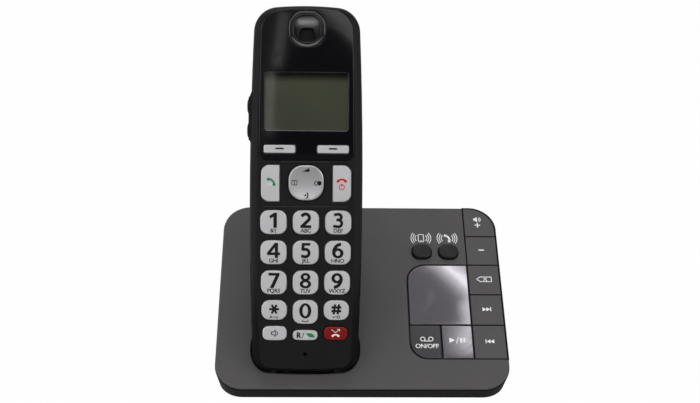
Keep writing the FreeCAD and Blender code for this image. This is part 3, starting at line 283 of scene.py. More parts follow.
def specks():
    """Scattered specks of pale dust."""
    def build(tree, given):
        place = node(tree, "ShaderNodeTexCoord").outputs["Object"]
        cells = node(tree, "ShaderNodeTexVoronoi", {"Vector": place, "Scale": 520.0, "Randomness": 1.0})
        dots = ramp(tree, cells.outputs["Distance"], 0.09, 0.03)
        some = node(tree, "ShaderNodeSeparateColor", {"Color": cells.outputs["Color"]}).outputs["Red"]
        few = calc(tree, "LESS_THAN", some, given["Amount"])
        return {"Dust": calc(tree, "MULTIPLY", dots, few)}
    return group("specks", (("Amount", 0.05),), (("Dust", FLOAT),), build)


def foot_painted_shade():
    """Mask of the rounded shoulder round the handset's foot, where shade is painted darker into the
    moulding's colour.
    """
    def build(tree, given):
        where = node(tree, "ShaderNodeTexCoord").outputs
        level = node(tree, "ShaderNodeSeparateXYZ", {"Vector": where["Object"]}).outputs["Z"]
        away = ramp(tree, dot(tree, where["Normal"], HANDSET.turn.col[2]), 0.985, 0.9)
        low = ramp(tree, level, SHOULDER_UP[1], SHOULDER_UP[0])
        return {"Shade": calc(tree, "MULTIPLY", away, low)}
    return group("foot_painted_shade", (), (("Shade", FLOAT),), build)


def notch_painted_shade():
    """Mask of the belt clip's notches in the handset's sides, where their inner shade is painted dark into
    the moulding's colour.
    """
    def build(tree, given):
        place = node(tree, "ShaderNodeTexCoord").outputs["Object"]
        low, high = HANDSET.extent("handset_front_shell")
        mask = 1.0
        for axis, start, end in ((1, low.y + NOTCH_UP[0], low.y + NOTCH_UP[1]),
                                 (2, high.z - NOTCH_DEEP[1], high.z - NOTCH_DEEP[0])):
            along = dot(tree, place, HANDSET.turn.col[axis])
            for bound, side in ((start, "GREATER_THAN"), (end, "LESS_THAN")):
                mask = calc(tree, "MULTIPLY", mask, calc(tree, side, along, bound))
        return {"Shade": mask}
    return group("notch_painted_shade", (), (("Shade", FLOAT),), build)


def placed(tree, made, **values):
    """A group placed in a material with its own values."""
    return node(tree, "ShaderNodeGroup", values, node_tree=made).outputs


def material(name, build):
    """A material with a Principled surface, made the first time that it is asked for."""
    made = bpy.data.materials.get(name)
    if made is None:
        made = bpy.data.materials.new(name)
        made.use_nodes = True
        tree = made.node_tree
        surface = next(n for n in tree.nodes if n.type == "BSDF_PRINCIPLED")
        build(tree, surface)
    return made


def scaled(base, share):
    """A colour made darker or brighter."""
    return [c * share for c in base]


def toned(tree, base, tone):
    """A colour multiplied by a tone that changes over the surface."""
    return node(tree, "ShaderNodeVectorMath", {0: base, 1: tone}, operation="MULTIPLY").outputs["Vector"]


def dusted(tree, shade, amount, cover, grey):
    """A colour with specks of dust that partly cover it."""
    spots = placed(tree, specks(), Amount=amount)
    return mixed(tree, calc(tree, "MULTIPLY", spots["Dust"], cover), shade, grey)


def moulded(name, base, roughness=0.5, spread=0.16, depth=1.0, tone=0.22, edge_highlight=1.5, coat=0.0, dust=0.0,
            metallic=0.0, specular=0.5, painted_shades=()):
    """Moulded plastic or lacquer: grain, softened edges lightened as a painted highlight, painted shade in
    given places and a little dust.
    """
    def build(tree, surface):
        finish = bpy.context.scene.phone_finish
        grain = placed(tree, moulded_grain(), Spacing=finish.grain, Roughness=roughness, Spread=spread,
                       Tone=tone)
        edges = placed(tree, soft_edges(), Radius=finish.edge)
        plain = toned(tree, base, grain["Tone"])
        # the lighter copy of the colour on the softened edges is a painted highlight
        light = toned(tree, [min(1.0, c) for c in scaled(base, edge_highlight)], grain["Tone"])
        shade = mixed(tree, edges["Edge"], plain, light)
        # painted shade: each mask darkens the colour to a fifth of it
        for mask in painted_shades:
            shade = mixed(tree, placed(tree, mask())["Shade"], shade, scaled(base, 0.2))
        if dust:
            shade = dusted(tree, shade, dust, 0.35, (0.5, 0.5, 0.48))
        bump = node(tree, "ShaderNodeBump", {"Height": grain["Height"], "Normal": edges["Normal"],
                                             "Distance": finish.grain_depth * depth, "Strength": 1.0})
        fill(tree, surface, {"Base Color": shade, "Roughness": grain["Roughness"], "Metallic": metallic,
                             "Normal": bump.outputs["Normal"], "Specular IOR Level": specular,
                             "Coat Weight": coat, "Coat Roughness": 0.12})
    return material(name, build)


def polished(name, base, roughness=0.06, smears=0.25, metallic=0.0, coat=0.0, edge_highlight=3.0, specular=0.5):
    """Polished surface: smears and hairlines in its gloss, softened edges made bright as a painted
    highlight.
    """
    def build(tree, surface):
        finish = bpy.context.scene.phone_finish
        marks = placed(tree, handling(), Amount=smears)["Smears"]
        edges = placed(tree, soft_edges(), Radius=finish.edge)
        # the brighter colour on the softened edges is a painted highlight
        light = [min(1.0, c + 0.01) for c in scaled(base, edge_highlight)]
        shade = dusted(tree, mixed(tree, edges["Edge"], base, light), 0.03, 0.25, (0.4, 0.4, 0.4))
        gloss = calc(tree, "MULTIPLY_ADD", marks, 0.35, roughness)
        fill(tree, surface, {"Base Color": shade, "Roughness": gloss, "Metallic": metallic,
                             "Normal": edges["Normal"], "Specular IOR Level": specular,
                             "Coat Weight": coat, "Coat Roughness": 0.03})
    return material(name, build)


def printed(name, base):
    """Screen-printed ink: slightly uneven cover and a fine stipple."""
    def build(tree, surface):
        grain = placed(tree, moulded_grain(), Spacing=0.12 * MM, Roughness=0.55, Spread=0.2, Tone=0.12)
        bump = node(tree, "ShaderNodeBump", {"Height": grain["Height"], "Distance": 0.004 * MM})
        fill(tree, surface, {"Base Color": toned(tree, base, grain["Tone"]), "Roughness": grain["Roughness"],
                             "Normal": bump.outputs["Normal"], "Specular IOR Level": 0.15})
    return material(name, build)


def clear_window():
    """Clear scratch-resistant plastic over the display."""
    def build(tree, surface):
        marks = placed(tree, handling(), Amount=0.15)["Smears"]
        fill(tree, surface, {"Base Color": (0.97, 0.98, 0.97, 1), "IOR": 1.46, "Transmission Weight": 1.0,
                             "Roughness": calc(tree, "MULTIPLY_ADD", marks, 0.2, 0.03)})
    return material("clear_plastic", build)


def display_face():
    """Reflective liquid-crystal layer: olive, with faint bars and a shadow along its top edge."""
    def build(tree, surface):
        base = [c * part for c, part in zip(bpy.context.scene.phone_finish.display, (2.1, 1.95, 1.95))]
        high = HANDSET.extent("display_window")[1]
        top = (HANDSET.turn @ Vector((0, high.y, high.z))).z
        place = node(tree, "ShaderNodeTexCoord").outputs["Object"]
        level = node(tree, "ShaderNodeSeparateXYZ", {"Vector": place}).outputs["Z"]
        shadow = ramp(tree, level, top - 5.2 * MM, top - 2.2 * MM, 1.0, 0.08)
        bars = node(tree, "ShaderNodeTexWave", {"Vector": place, "Scale": 900.0}, bands_direction="X")
        tone = calc(tree, "MULTIPLY_ADD", bars.outputs["Fac"], 0.05, 0.88)
        tone = calc(tree, "MULTIPLY_ADD", noise(tree, place, 45.0, Detail=2.0), 0.2, tone)
        tone = calc(tree, "MULTIPLY", tone, shadow)
        grain = placed(tree, moulded_grain(), Spacing=0.1 * MM, Roughness=0.35, Spread=0.1, Tone=0.1)
        fill(tree, surface, {"Base Color": toned(tree, base, tone), "Roughness": grain["Roughness"],
                             "Specular IOR Level": 0.1})
    return material("display_olive", build)


def paint(made, *nodes):
    """Puts one material on CAD nodes, in place of what they came with."""
    for name in nodes:
        mesh = frame["nodes"][name].data
        mesh.materials.clear()
        mesh.materials.append(made)


# ---------------------------------------------------------------- flat artwork, in millimetres

def arc(x, y, radius, start, end, count=16):
    """Points along an arc, in degrees anticlockwise."""
    steps = [math.radians(start + (end - start) * i / count) for i in range(count + 1)]
    return [(x + radius * math.cos(a), y + radius * math.sin(a)) for a in steps]


def disc(x, y, radius):
    """A filled circle."""
    return [arc(x, y, radius, 0, 360, 28)[:-1]]


def ring(x, y, radius, width):
    """A circle drawn with a line of some width."""
    outer = arc(x, y, radius + width / 2, 0, 360, 32)[:-1]
    return [outer, arc(x, y, radius - width / 2, 0, 360, 32)[:-1][::-1]]


def band(points, width):
    """A line of some width along points, as one outline with mitred corners."""
    left, right = [], []
    for i, (x, y) in enumerate(points):
        before = points[max(i - 1, 0)]
        after = points[min(i + 1, len(points) - 1)]
        a = Vector((x - before[0], y - before[1]))
        b = Vector((after[0] - x, after[1] - y))
        a = (a if a.length else b).normalized()
        b = (b if b.length else a).normalized()
        middle = (a + b).normalized()
        reach = width / 2 / max(0.5, middle.dot(a))
        left.append((x - middle.y * reach, y + middle.x * reach))
        right.append((x + middle.y * reach, y - middle.x * reach))
    return [left + right[::-1]]


def rectangle(x0, y0, x1, y1, radius=0.0):
    """A filled rectangle, its corners rounded if a radius is given."""
    if not radius:
        return [[(x0, y0), (x1, y0), (x1, y1), (x0, y1)]]
    r = radius
    return [arc(x1 - r, y0 + r, r, -90, 0, 6) + arc(x1 - r, y1 - r, r, 0, 90, 6)
            + arc(x0 + r, y1 - r, r, 90, 180, 6) + arc(x0 + r, y0 + r, r, 180, 270, 6)]


def frame_line(x0, y0, x1, y1, radius, width):
    """A rounded rectangle drawn with a line of some width."""
    half = width / 2
    outer = rectangle(x0 - half, y0 - half, x1 + half, y1 + half, radius + half)[0]
    inner = rectangle(x0 + half, y0 + half, x1 - half, y1 - half, max(radius - half, 0.05))[0]
    return [outer, inner[::-1]]


def turned(shapes, degrees, x=0.0, y=0.0, scale=1.0):
    """Shapes turned about their own origin, scaled and moved."""
    c, s = math.cos(math.radians(degrees)) * scale, math.sin(math.radians(degrees)) * scale
    return [[[(x + c * px - s * py, y + s * px + c * py) for px, py in loop] for loop in shape]
            for shape in shapes]


def fitted(shapes, x, y, width, degrees=0.0):
    """Shapes turned, scaled to a width and centred on a point."""
    shapes = turned(shapes, degrees)
    xs = [px for shape in shapes for loop in shape for px, _ in loop]
    ys = [py for shape in shapes for loop in shape for _, py in loop]
    scale = width / (max(xs) - min(xs))
    return turned(shapes, 0, x - scale * (max(xs) + min(xs)) / 2, y - scale * (max(ys) + min(ys)) / 2, scale)


def oval(x, y, half_width, half_height, stroke_x, stroke_y):
    """An upright oval drawn with a line that is heavier at its sides."""
    turn = [math.radians(10 * i) for i in range(36)]
    outer = [(x + half_width * math.cos(a), y + half_height * math.sin(a)) for a in turn]
    inner = [(x + (half_width - stroke_x) * math.cos(a), y + (half_height - stroke_y) * math.sin(a))
             for a in turn]
    return [outer, inner[::-1]]


def figure(number):
    """Outlines of a heavy figure, standing on its foot line and centred across."""
    sweep = [math.radians(90 * i / 12) for i in range(13)]
    six = [oval(0.05, 2.35, 2.65, 2.4, 1.55, 1.2),
           band([(1.55 - 3.5 * math.sin(a), 2.5 + 4.05 * math.cos(a)) for a in sweep], 1.5)]
    return {
        0: [oval(0, 3.55, 2.85, 3.6, 1.6, 1.1)],
        1: [[[(0.0, 0), (1.65, 0), (1.65, 7.1), (0.4, 7.1), (-2.0, 5.5), (-1.3, 4.3), (0.0, 5.2)]]],
        2: [band([(-2.15, 5.55)] + arc(-0.15, 4.75, 1.8, 135, -28, 14) + [(-1.75, 0.75)], 1.5),
            rectangle(-2.55, 0, 2.55, 1.3)],
        3: [band([(-2.0, 6.25)] + arc(0.05, 5.2, 1.35, 110, -90, 14) + [(-0.9, 3.85)], 1.35),
            band([(-0.9, 3.85)] + arc(0.05, 2.25, 1.6, 90, -110, 16) + [(-2.4, 0.95)], 1.35)],
        4: [rectangle(0.6, 0, 2.15, 7.1), band([(1.2, 6.75), (-2.4, 2.1)], 1.35),
            rectangle(-3.0, 1.35, 3.1, 2.6)],
        5: [rectangle(-1.85, 5.85, 2.2, 7.1), band([(-1.2, 6.3), (-1.35, 3.6)], 1.4),
            band([(-1.35, 4.0)] + arc(-0.15, 2.4, 1.75, 100, -110, 16) + [(-2.1, 0.95)], 1.4)],
        6: six,
        7: [rectangle(-2.5, 5.85, 2.65, 7.1), [[(0.95, 6.0), (2.65, 6.0), (-0.1, 0), (-1.85, 0)]]],
        8: [oval(0, 5.25, 2.3, 1.9, 1.4, 1.1), oval(0, 1.95, 2.7, 2.05, 1.5, 1.15)],
        9: turned(six, 180, 0, FIGURE_CAP),
    }[number]


def receiver():
    """The sign of a telephone receiver, with its two ends turned down."""
    ends = [turned([rectangle(-0.13, -0.16, 0.13, 0.12, 0.04)], -side * 32, side * 0.40, -0.16)[0]
            for side in (-1, 1)]
    return [band(arc(0, -0.62, 0.62, 132, 48, 14), 0.2)] + ends


def speaker_sign():
    """A loudspeaker with two waves."""
    body = [[(-0.5, -0.17), (-0.3, -0.17), (-0.05, -0.4), (-0.05, 0.4), (-0.3, 0.17), (-0.5, 0.17)]]
    return [body] + [band(arc(-0.05, 0, r, -48, 48, 10), 0.1) for r in (0.22, 0.42)]


def hands_free_sign():
    """An outlined loudspeaker with one wave."""
    horn = [(-0.5, -0.2), (-0.24, -0.2), (0.08, -0.45), (0.08, 0.45), (-0.24, 0.2), (-0.5, 0.2),
            (-0.5, -0.2)]
    return [band(horn, 0.14), band(arc(-0.1, 0, 0.5, -40, 40, 10), 0.14)]


def triangle(x, y, width, height):
    """A filled triangle that points to the right, or to the left if its width is negative."""
    return [[(x - width / 2, y - height / 2), (x + width / 2, y), (x - width / 2, y + height / 2)]]


def skip_sign(direction):
    """Two triangles and a bar."""
    shapes = [triangle(direction * x, 0, direction * 1.9, 2.3) for x in (-1.25, 0.65)]
    bar = sorted((direction * 1.7, direction * 2.15))
    return shapes + [rectangle(bar[0], -1.15, bar[1], 1.15)]


def waves(x, y, direction, radii, width):
    """Arcs that spread from a point, to the right or to the left."""
    middle = 0 if direction > 0 else 180
    return [band(arc(x, y, r, middle - 42, middle + 42, 10), width) for r in radii]


def ink_mesh(shapes, texts, spacing):
    """A flat triangle mesh in millimetres of outlines and lettering, cut on a grid of some spacing."""
    bm = bmesh.new()
    for loops in shapes:
        outlines = [[Vector((x, y, 0)) for x, y in loop] for loop in loops]
        verts = [bm.verts.new(point) for outline in outlines for point in outline]
        for corners in tessellate_polygon(outlines):
            bm.faces.new([verts[i] for i in corners])
    for words, height, x, y, weight in texts:
        add_text(bm, words, height, x, y, weight)
    bmesh.ops.remove_doubles(bm, verts=bm.verts, dist=1e-4)
    bmesh.ops.recalc_face_normals(bm, faces=bm.faces)
    for face in bm.faces:
        if face.normal.z < 0:
            face.normal_flip()
    if spacing:
        for axis in (0, 1):
            low = min(v.co[axis] for v in bm.verts)
            high = max(v.co[axis] for v in bm.verts)
            for i in range(1, int((high - low) / spacing) + 1):
                point, normal = Vector(), Vector()
                point[axis], normal[axis] = low + i * spacing, 1
                geometry = bm.verts[:] + bm.edges[:] + bm.faces[:]
                bmesh.ops.bisect_plane(bm, geom=geometry, plane_co=point, plane_no=normal, dist=1e-5)
    return bm


def add_text(bm, words, height, x, y, weight):
    """Adds lettering of a cap height, centred on a point, with its strokes made heavier by a weight."""
    curve = bpy.data.curves.new("lettering", "FONT")
    curve.body = words
    curve.offset = weight
    curve.space_character = 0.94
    curve.resolution_u = 4
    holder = bpy.data.objects.new("lettering", curve)
    bpy.context.scene.collection.objects.link(holder)
    bpy.context.view_layer.update()
    mesh = bpy.data.meshes.new_from_object(holder.evaluated_get(bpy.context.evaluated_depsgraph_get()))
    across = [v.co.x for v in mesh.vertices]
    mesh.transform(Matrix.Translation((x, y, 0)) @ Matrix.Scale(height / FONT_CAP, 4)
                   @ Matrix.Translation((-(min(across) + max(across)) / 2, -FONT_CAP / 2, 0)))
    bm.from_mesh(mesh)
    bpy.data.objects.remove(holder)
    bpy.data.curves.remove(curve)
    bpy.data.meshes.remove(mesh)


def lay(name, face, on, body, shapes, texts=(), centre=(0.0, 0.0), slot="legend_black", curved=False,
        made=None, height=None):
    """Lays artwork on a node's surface as a thin print, centred on the node, and lets it ride on a body."""
    bm = ink_mesh(shapes, texts, PRINT_GRID if curved else 0.0)
    middle = face.centre(on)
    flat = face.surface(on, middle.x + centre[0] * MM, middle.y + centre[1] * MM) or middle.z
    for vert in bm.verts:
        x, y = middle.x + (vert.co.x + centre[0]) * MM, middle.y + (vert.co.y + centre[1]) * MM
        level = (face.surface(on, x, y) if curved else None) or flat
        vert.co = face.turn @ Vector((x, y, level - SINK))
    top = bmesh.ops.extrude_face_region(bm, geom=bm.faces[:])
    raised = [v for v in top["geom"] if isinstance(v, bmesh.types.BMVert)]
    rise = face.turn @ Vector((0, 0, (height or bpy.context.scene.phone_legends.ink) + SINK))
    for vert in raised:
        vert.co += rise
    bmesh.ops.recalc_face_normals(bm, faces=bm.faces)
    return piece(name, bm, made or legend(slot), body)


def mark(key, ending, shapes, texts=(), face=HANDSET, curved=True, **rest):
    """Prints a sign on a key, with a name made of the key's and an ending, and lets it ride on the key."""
    return lay(key + ending, face, key, key, shapes, texts, curved=curved, **rest)


def piece(name, bm, made, body, smooth=False):
    """A finished mesh object of the given bmesh that rides on a body."""
    mesh = bpy.data.meshes.new(name)
    bm.to_mesh(mesh)
    bm.free()
    mesh.materials.append(made)
    if smooth:
        mesh.shade_smooth()
    holder = bpy.data.objects.new(name, mesh)
    bpy.context.scene.collection.objects.link(holder)
    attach(holder, body)
    return holder


def legend(slot):
    """The ink for a legend slot, whose black is a deep one."""
    return printed(slot + "_ink", scaled(COLOURS[slot], 0.4 if slot == "legend_black" else 1.0))


# ---------------------------------------------------------------- base

class PHONE_OT_base(bpy.types.Operator):
    """Finish the base's mouldings and its flush keys"""
    bl_idname = "phone.base"
    bl_label = "Base mouldings"

    def execute(self, context):
        finish = context.scene.phone_finish
        plate = moulded("plate_satin", scaled(finish.plate, 0.92), roughness=0.5, spread=0.14, tone=0.2,
                        dust=0.02, edge_highlight=1.7)
        paint(plate, "base_top_cover")
        keys = moulded("flush_key_satin", scaled(finish.flush_keys, 0.93), roughness=0.48, spread=0.14,
                       tone=0.2, edge_highlight=1.7)
        paint(keys, "volume_up_key", "volume_down_key", "erase_key", "skip_forward_key", "skip_back_key")
        # the housing's colour cut to six tenths is painted shade: its walls face away from the light above
        # and behind
        housing = moulded("housing_satin_painted_shade", scaled(finish.housing, 0.6), roughness=0.42, edge_highlight=1.3,
                          specular=0.12)
        paint(housing, "base_housing")
        return {"FINISHED"}


class PHONE_OT_window(bpy.types.Operator):
    """Finish the message window and the two keys below it"""
    bl_idname = "phone.window"
    bl_label = "Message window"

    def execute(self, context):
        finish = context.scene.phone_finish
        mirror = polished("smoked_mirror", finish.mirror, smears=0.2, metallic=1.0, edge_highlight=2.0)
        paint(mirror, "message_window", "play_key")
        smoked = polished("smoked_gloss", scaled(finish.answer_key, 0.65), roughness=0.14, smears=0.2,
                          edge_highlight=3.5)
        paint(smoked, "answer_key")
        return {"FINISHED"}


class PHONE_OT_locator_keys(bpy.types.Operator):
    """Finish the two domed soft buttons, the feet and the mats under the keys"""
    bl_idname = "phone.locator_keys"
    bl_label = "Soft buttons"

    def execute(self, context):
        rubber = moulded("button_rubber", scaled(context.scene.phone_finish.rubber, 0.6), roughness=0.6,
                         spread=0.1, depth=0.6, edge_highlight=1.2, dust=0.03)
        paint(rubber, "locator_key_left", "locator_key_right", "rubber_feet", "keypad_mat", "base_key_mat")
        return {"FINISHED"}


class PHONE_OT_base_legends(bpy.types.Operator):
    """Print the signs on the base's keys and above the soft buttons"""
    bl_idname = "phone.base_legends"
    bl_label = "Base signs"

    def execute(self, context):
        for key, shapes, texts, centre in self.signs():
            mark(key, "_sign", shapes, texts, PLATE, False, centre=centre, slot="legend_white")
        self.locator_signs()
        return {"FINISHED"}

    def signs(self):
        """Key, outlines, lettering and offset of each sign on a key."""
        plus = [rectangle(-1.5, -0.3, 1.5, 0.3), rectangle(-0.3, 0.3, 0.3, 1.5),
                rectangle(-0.3, -1.5, 0.3, -0.3)]
        louder = fitted(speaker_sign(), -0.8, 1.9, 4.0) + turned(plus, 0, -0.8, -1.7)
        cross = [band([(-0.9, -0.9), (0.9, 0.9)], 0.42), band([(-0.9, 0.9), (0.9, -0.9)], 0.42)]
        tag = [band([(-4.2, 0), (-2.2, 1.5), (4.0, 1.5), (4.0, -1.5), (-2.2, -1.5), (-4.2, 0)], 0.42)]
        reels = [ring(-2.0, 0, 1.1, 0.42), ring(2.0, 0, 1.1, 0.42), rectangle(-2.0, -1.31, 2.0, -0.9)]
        play = [triangle(-2.6, 0, 2.7, 3.0), band([(-0.6, -1.7), (0.6, 1.7)], 0.4),
                rectangle(1.3, -1.25, 2.3, 1.25), rectangle(2.9, -1.25, 3.9, 1.25)]
        return (
            ("volume_up_key", louder, (), (0.0, 0.0)),
            ("volume_down_key", [rectangle(-1.5, -0.33, 1.5, 0.33)], (), (0.0, 0.4)),
            ("erase_key", fitted(tag, 0, 0, 8.0) + turned(cross, 0, 0.6, 0), (), (0.0, 0.3)),
            ("skip_forward_key", skip_sign(1), (), (0.0, 0.3)),
            ("skip_back_key", skip_sign(-1), (), (0.0, 0.3)),
            ("answer_key", turned(reels, 0, 0, 1.5), (("ON/OFF", 2.3, 0.0, -2.4, 0.02),), (0.6, 0.0)),
            ("play_key", fitted(play, 0, 0.9, 8.0), (), (0.0, 0.0)),
        )

    def locator_signs(self):
        """A mobile phone and a handset, each with waves, printed on the plate."""
        plate = PLATE.centre("base_top_cover")
        mobile = [frame_line(-1.4, -2.3, 1.4, 2.3, 0.5, 0.42), rectangle(-0.5, -1.75, 0.5, -1.4)]
        handset = fitted(receiver(), 0, 0, 3.6, -60)
        for side, sign in (("left", mobile), ("right", handset)):
            key = PLATE.centre("locator_key_" + side)
            radii = (2.7, 3.8, 4.9)
            spread = waves(0.4, 0, 1, radii, 0.42) + waves(-0.4, 0, -1, radii, 0.42)
            centre = ((key.x - plate.x) / MM, (key.y - plate.y) / MM + 8.9)
            lay("locator_sign_" + side, PLATE, "base_top_cover", "base", sign + spread, (), centre,
                slot="legend_white")


# ---------------------------------------------------------------- handset

class PHONE_OT_shells(bpy.types.Operator):
    """Finish the handset's front and rear shells, battery cover and side rocker"""
    bl_idname = "phone.shells"
    bl_label = "Handset shells"

    def execute(self, context):
        finish = context.scene.phone_finish
        # the front shell gets painted shade on the foot's shoulder and inside the clip notches
        front = moulded("shell_satin", scaled(finish.shell, 0.72), spread=0.12, edge_highlight=1.6, dust=0.012,
                        specular=0.14, painted_shades=(foot_painted_shade, notch_painted_shade))
        rear = moulded("rear_satin", finish.rear, spread=0.12, edge_highlight=1.6, specular=0.25)
        paint(front, "handset_front_shell")
        paint(rear, "handset_rear_shell", "battery_cover", "side_rocker")
        self.cluster_lines(finish)
        return {"FINISHED"}

    def cluster_lines(self, finish):
        """Two fine raised lines, above and below the call keys and the four-way key, lighter than the shell
        as a painted highlight.
        """
        # the shell's colour made lighter is a painted highlight on the raised lines
        line = moulded("raised_line_painted_highlight", scaled(finish.shell, 1.7), roughness=0.45, spread=0.1, depth=0.3)
        shell = HANDSET.centre("handset_front_shell")
        talk, off = HANDSET.extent("talk_key"), HANDSET.extent("off_key")
        offset = (0.0, ((talk[0].y + talk[1].y) / 2 - shell.y) / MM)
        tall = (talk[1].y - talk[0].y) / 2 / MM
        between = (off[0].x - talk[1].x) / 2 / MM - 0.5
        across = (off[1].x - talk[0].x) / 2 / MM - 2.0
        for end, half, low in (("top", between, tall + 0.75), ("foot", across, -tall - 1.9)):
            lay("cluster_line_" + end, HANDSET, "handset_front_shell", "handset",
                [rectangle(-half, low, half, low + 0.25)], (), offset, slot="handset_front_plastic",
                made=line, height=0.05 * MM)


class PHONE_OT_panel(bpy.types.Operator):
    """Finish the glossy panel and the display under its window"""
    bl_idname = "phone.panel"
    bl_label = "Panel and display"

    def execute(self, context):
        finish = context.scene.phone_finish
        gloss = polished("panel_black", finish.panel, roughness=0.05, smears=0.1, edge_highlight=6.0)
        paint(gloss, "display_panel")
        paint(clear_window(), "display_window")
        paint(display_face(), "lcd_module")
        self.window_border(finish)
        return {"FINISHED"}

    def window_border(self, finish):
        """The thin bevelled line round the display window, coloured light as a painted highlight that is
        brightest along its foot.
        """
        low, high = HANDSET.extent("display_window")
        half, tall = (high.x - low.x) / MM / 2, (high.y - low.y) / MM / 2
        out = 0.15
        border = [frame_line(-half - out, -tall - out, half + out, tall + out, 1.2, 0.3)]
        foot = [rectangle(-half + 0.6, -0.17, half - 0.6, 0.17, 0.1)]
        # both lines are the near-black panel colour made far lighter, a painted highlight of the window's
        # bevel
        line = moulded("border_painted_highlight", scaled(finish.panel, 22), roughness=0.25, spread=0.1, depth=0.2,
                       tone=0.2)
        bright = moulded("border_foot", scaled(finish.panel, 60), roughness=0.3, spread=0.1, depth=0.2,
                         tone=0.2)
        lay("window_border", HANDSET, "display_window", "handset", border, slot="panel_gloss", made=line,
            height=0.06 * MM)
        lay("window_border_foot", HANDSET, "display_window", "handset", foot, (), (0.0, -tall - out),
            slot="panel_gloss", made=bright, height=0.09 * MM)


class PHONE_OT_earpiece(bpy.types.Operator):
    """Finish the earpiece bezel"""
    bl_idname = "phone.earpiece"
    bl_label = "Earpiece"

    def execute(self, context):
        finish = context.scene.phone_finish
        gloss = polished("bezel_black", finish.bezel, roughness=0.04, smears=0.1, edge_highlight=1.0, coat=0.15)
        paint(gloss, "earpiece_bezel")
        self.bead(finish)
        return {"FINISHED"}

    def bead(self, finish):
        """The half-round bead along the lower rim, thickest at its middle; its gloss is the bezel's black
        made lighter, a painted highlight on top of the lamps' reflections.
        """
        middle = HANDSET.centre("earpiece_bezel")
        low, high = HANDSET.extent("earpiece_bezel")
        radius = (high.y - low.y) / 2 - 0.5 * MM
        level = HANDSET.surface("earpiece_bezel", middle.x, low.y + 1.0 * MM) or middle.z
        bm = bmesh.new()
        rows = []
        for along in (i / 16 for i in range(-16, 17)):
            angle = math.radians(-90 + 62 * along)
            taper = math.cos(along * math.pi / 2) ** 0.7 + 0.02
            rows.append([])
            for over in (math.pi * k / 8 for k in range(9)):
                out = radius + 0.75 * MM * taper * math.cos(over)
                rise = level + 0.55 * MM * taper * math.sin(over) - SINK
                x, y = middle.x + out * math.cos(angle), middle.y + out * math.sin(angle)
                rows[-1].append(bm.verts.new(HANDSET.turn @ Vector((x, y, rise))))
        for row, after in zip(rows, rows[1:]):
            for k in range(9):
                bm.faces.new((row[k - 1], row[k], after[k], after[k - 1]))
        bm.faces.new(rows[0])
        bm.faces.new(rows[-1])
        bmesh.ops.recalc_face_normals(bm, faces=bm.faces)
        # the bezel's colour made three times lighter is a painted highlight on the bead
        gloss = polished("bead_gloss_painted_highlight", scaled(finish.bezel, 3), roughness=0.1, smears=0.1, edge_highlight=1.0,
                         coat=1.0, specular=1.0)
        piece("earpiece_bead", bm, gloss, "handset", smooth=True)


class PHONE_OT_keys(bpy.types.Operator):
    """Lacquer the handset's keys"""
    bl_idname = "phone.keys"
    bl_label = "Handset keys"

    def execute(self, context):
        finish = context.scene.phone_finish
        silver = moulded("key_lacquer", finish.keys, roughness=0.36, spread=0.1, depth=0.35, tone=0.07,
                         edge_highlight=1.8, coat=0.25)
        paint(silver, *("key_" + k for k in "1 2 3 4 5 6 7 8 9 0 star hash".split()))
        paint(silver, "talk_key", "off_key", "soft_key_left", "soft_key_right", "speaker_key", "recall_key")
        bright = moulded("navigator_lacquer", scaled(finish.navigator, 1.25), roughness=0.3, spread=0.1,
                         depth=0.35, tone=0.06, edge_highlight=1.3, metallic=0.65)
        paint(bright, "nav_key")
        self.even_dish(frame["nodes"]["nav_key"])
        red = moulded("red_lacquer", scaled(finish.block_key, 0.55), roughness=0.35, spread=0.1, depth=0.35,
                      tone=0.1, edge_highlight=1.6, coat=0.15, specular=0.3)
        paint(red, "block_key")
        return {"FINISHED"}

    def even_dish(self, key):
        """Joins the doubled corner in the middle of the dish, which would shade as a bright dot."""
        key.modifiers.new("one_skin", "WELD").merge_threshold = 0.001 * MM
        key.modifiers.new("even_shading", "WEIGHTED_NORMAL")


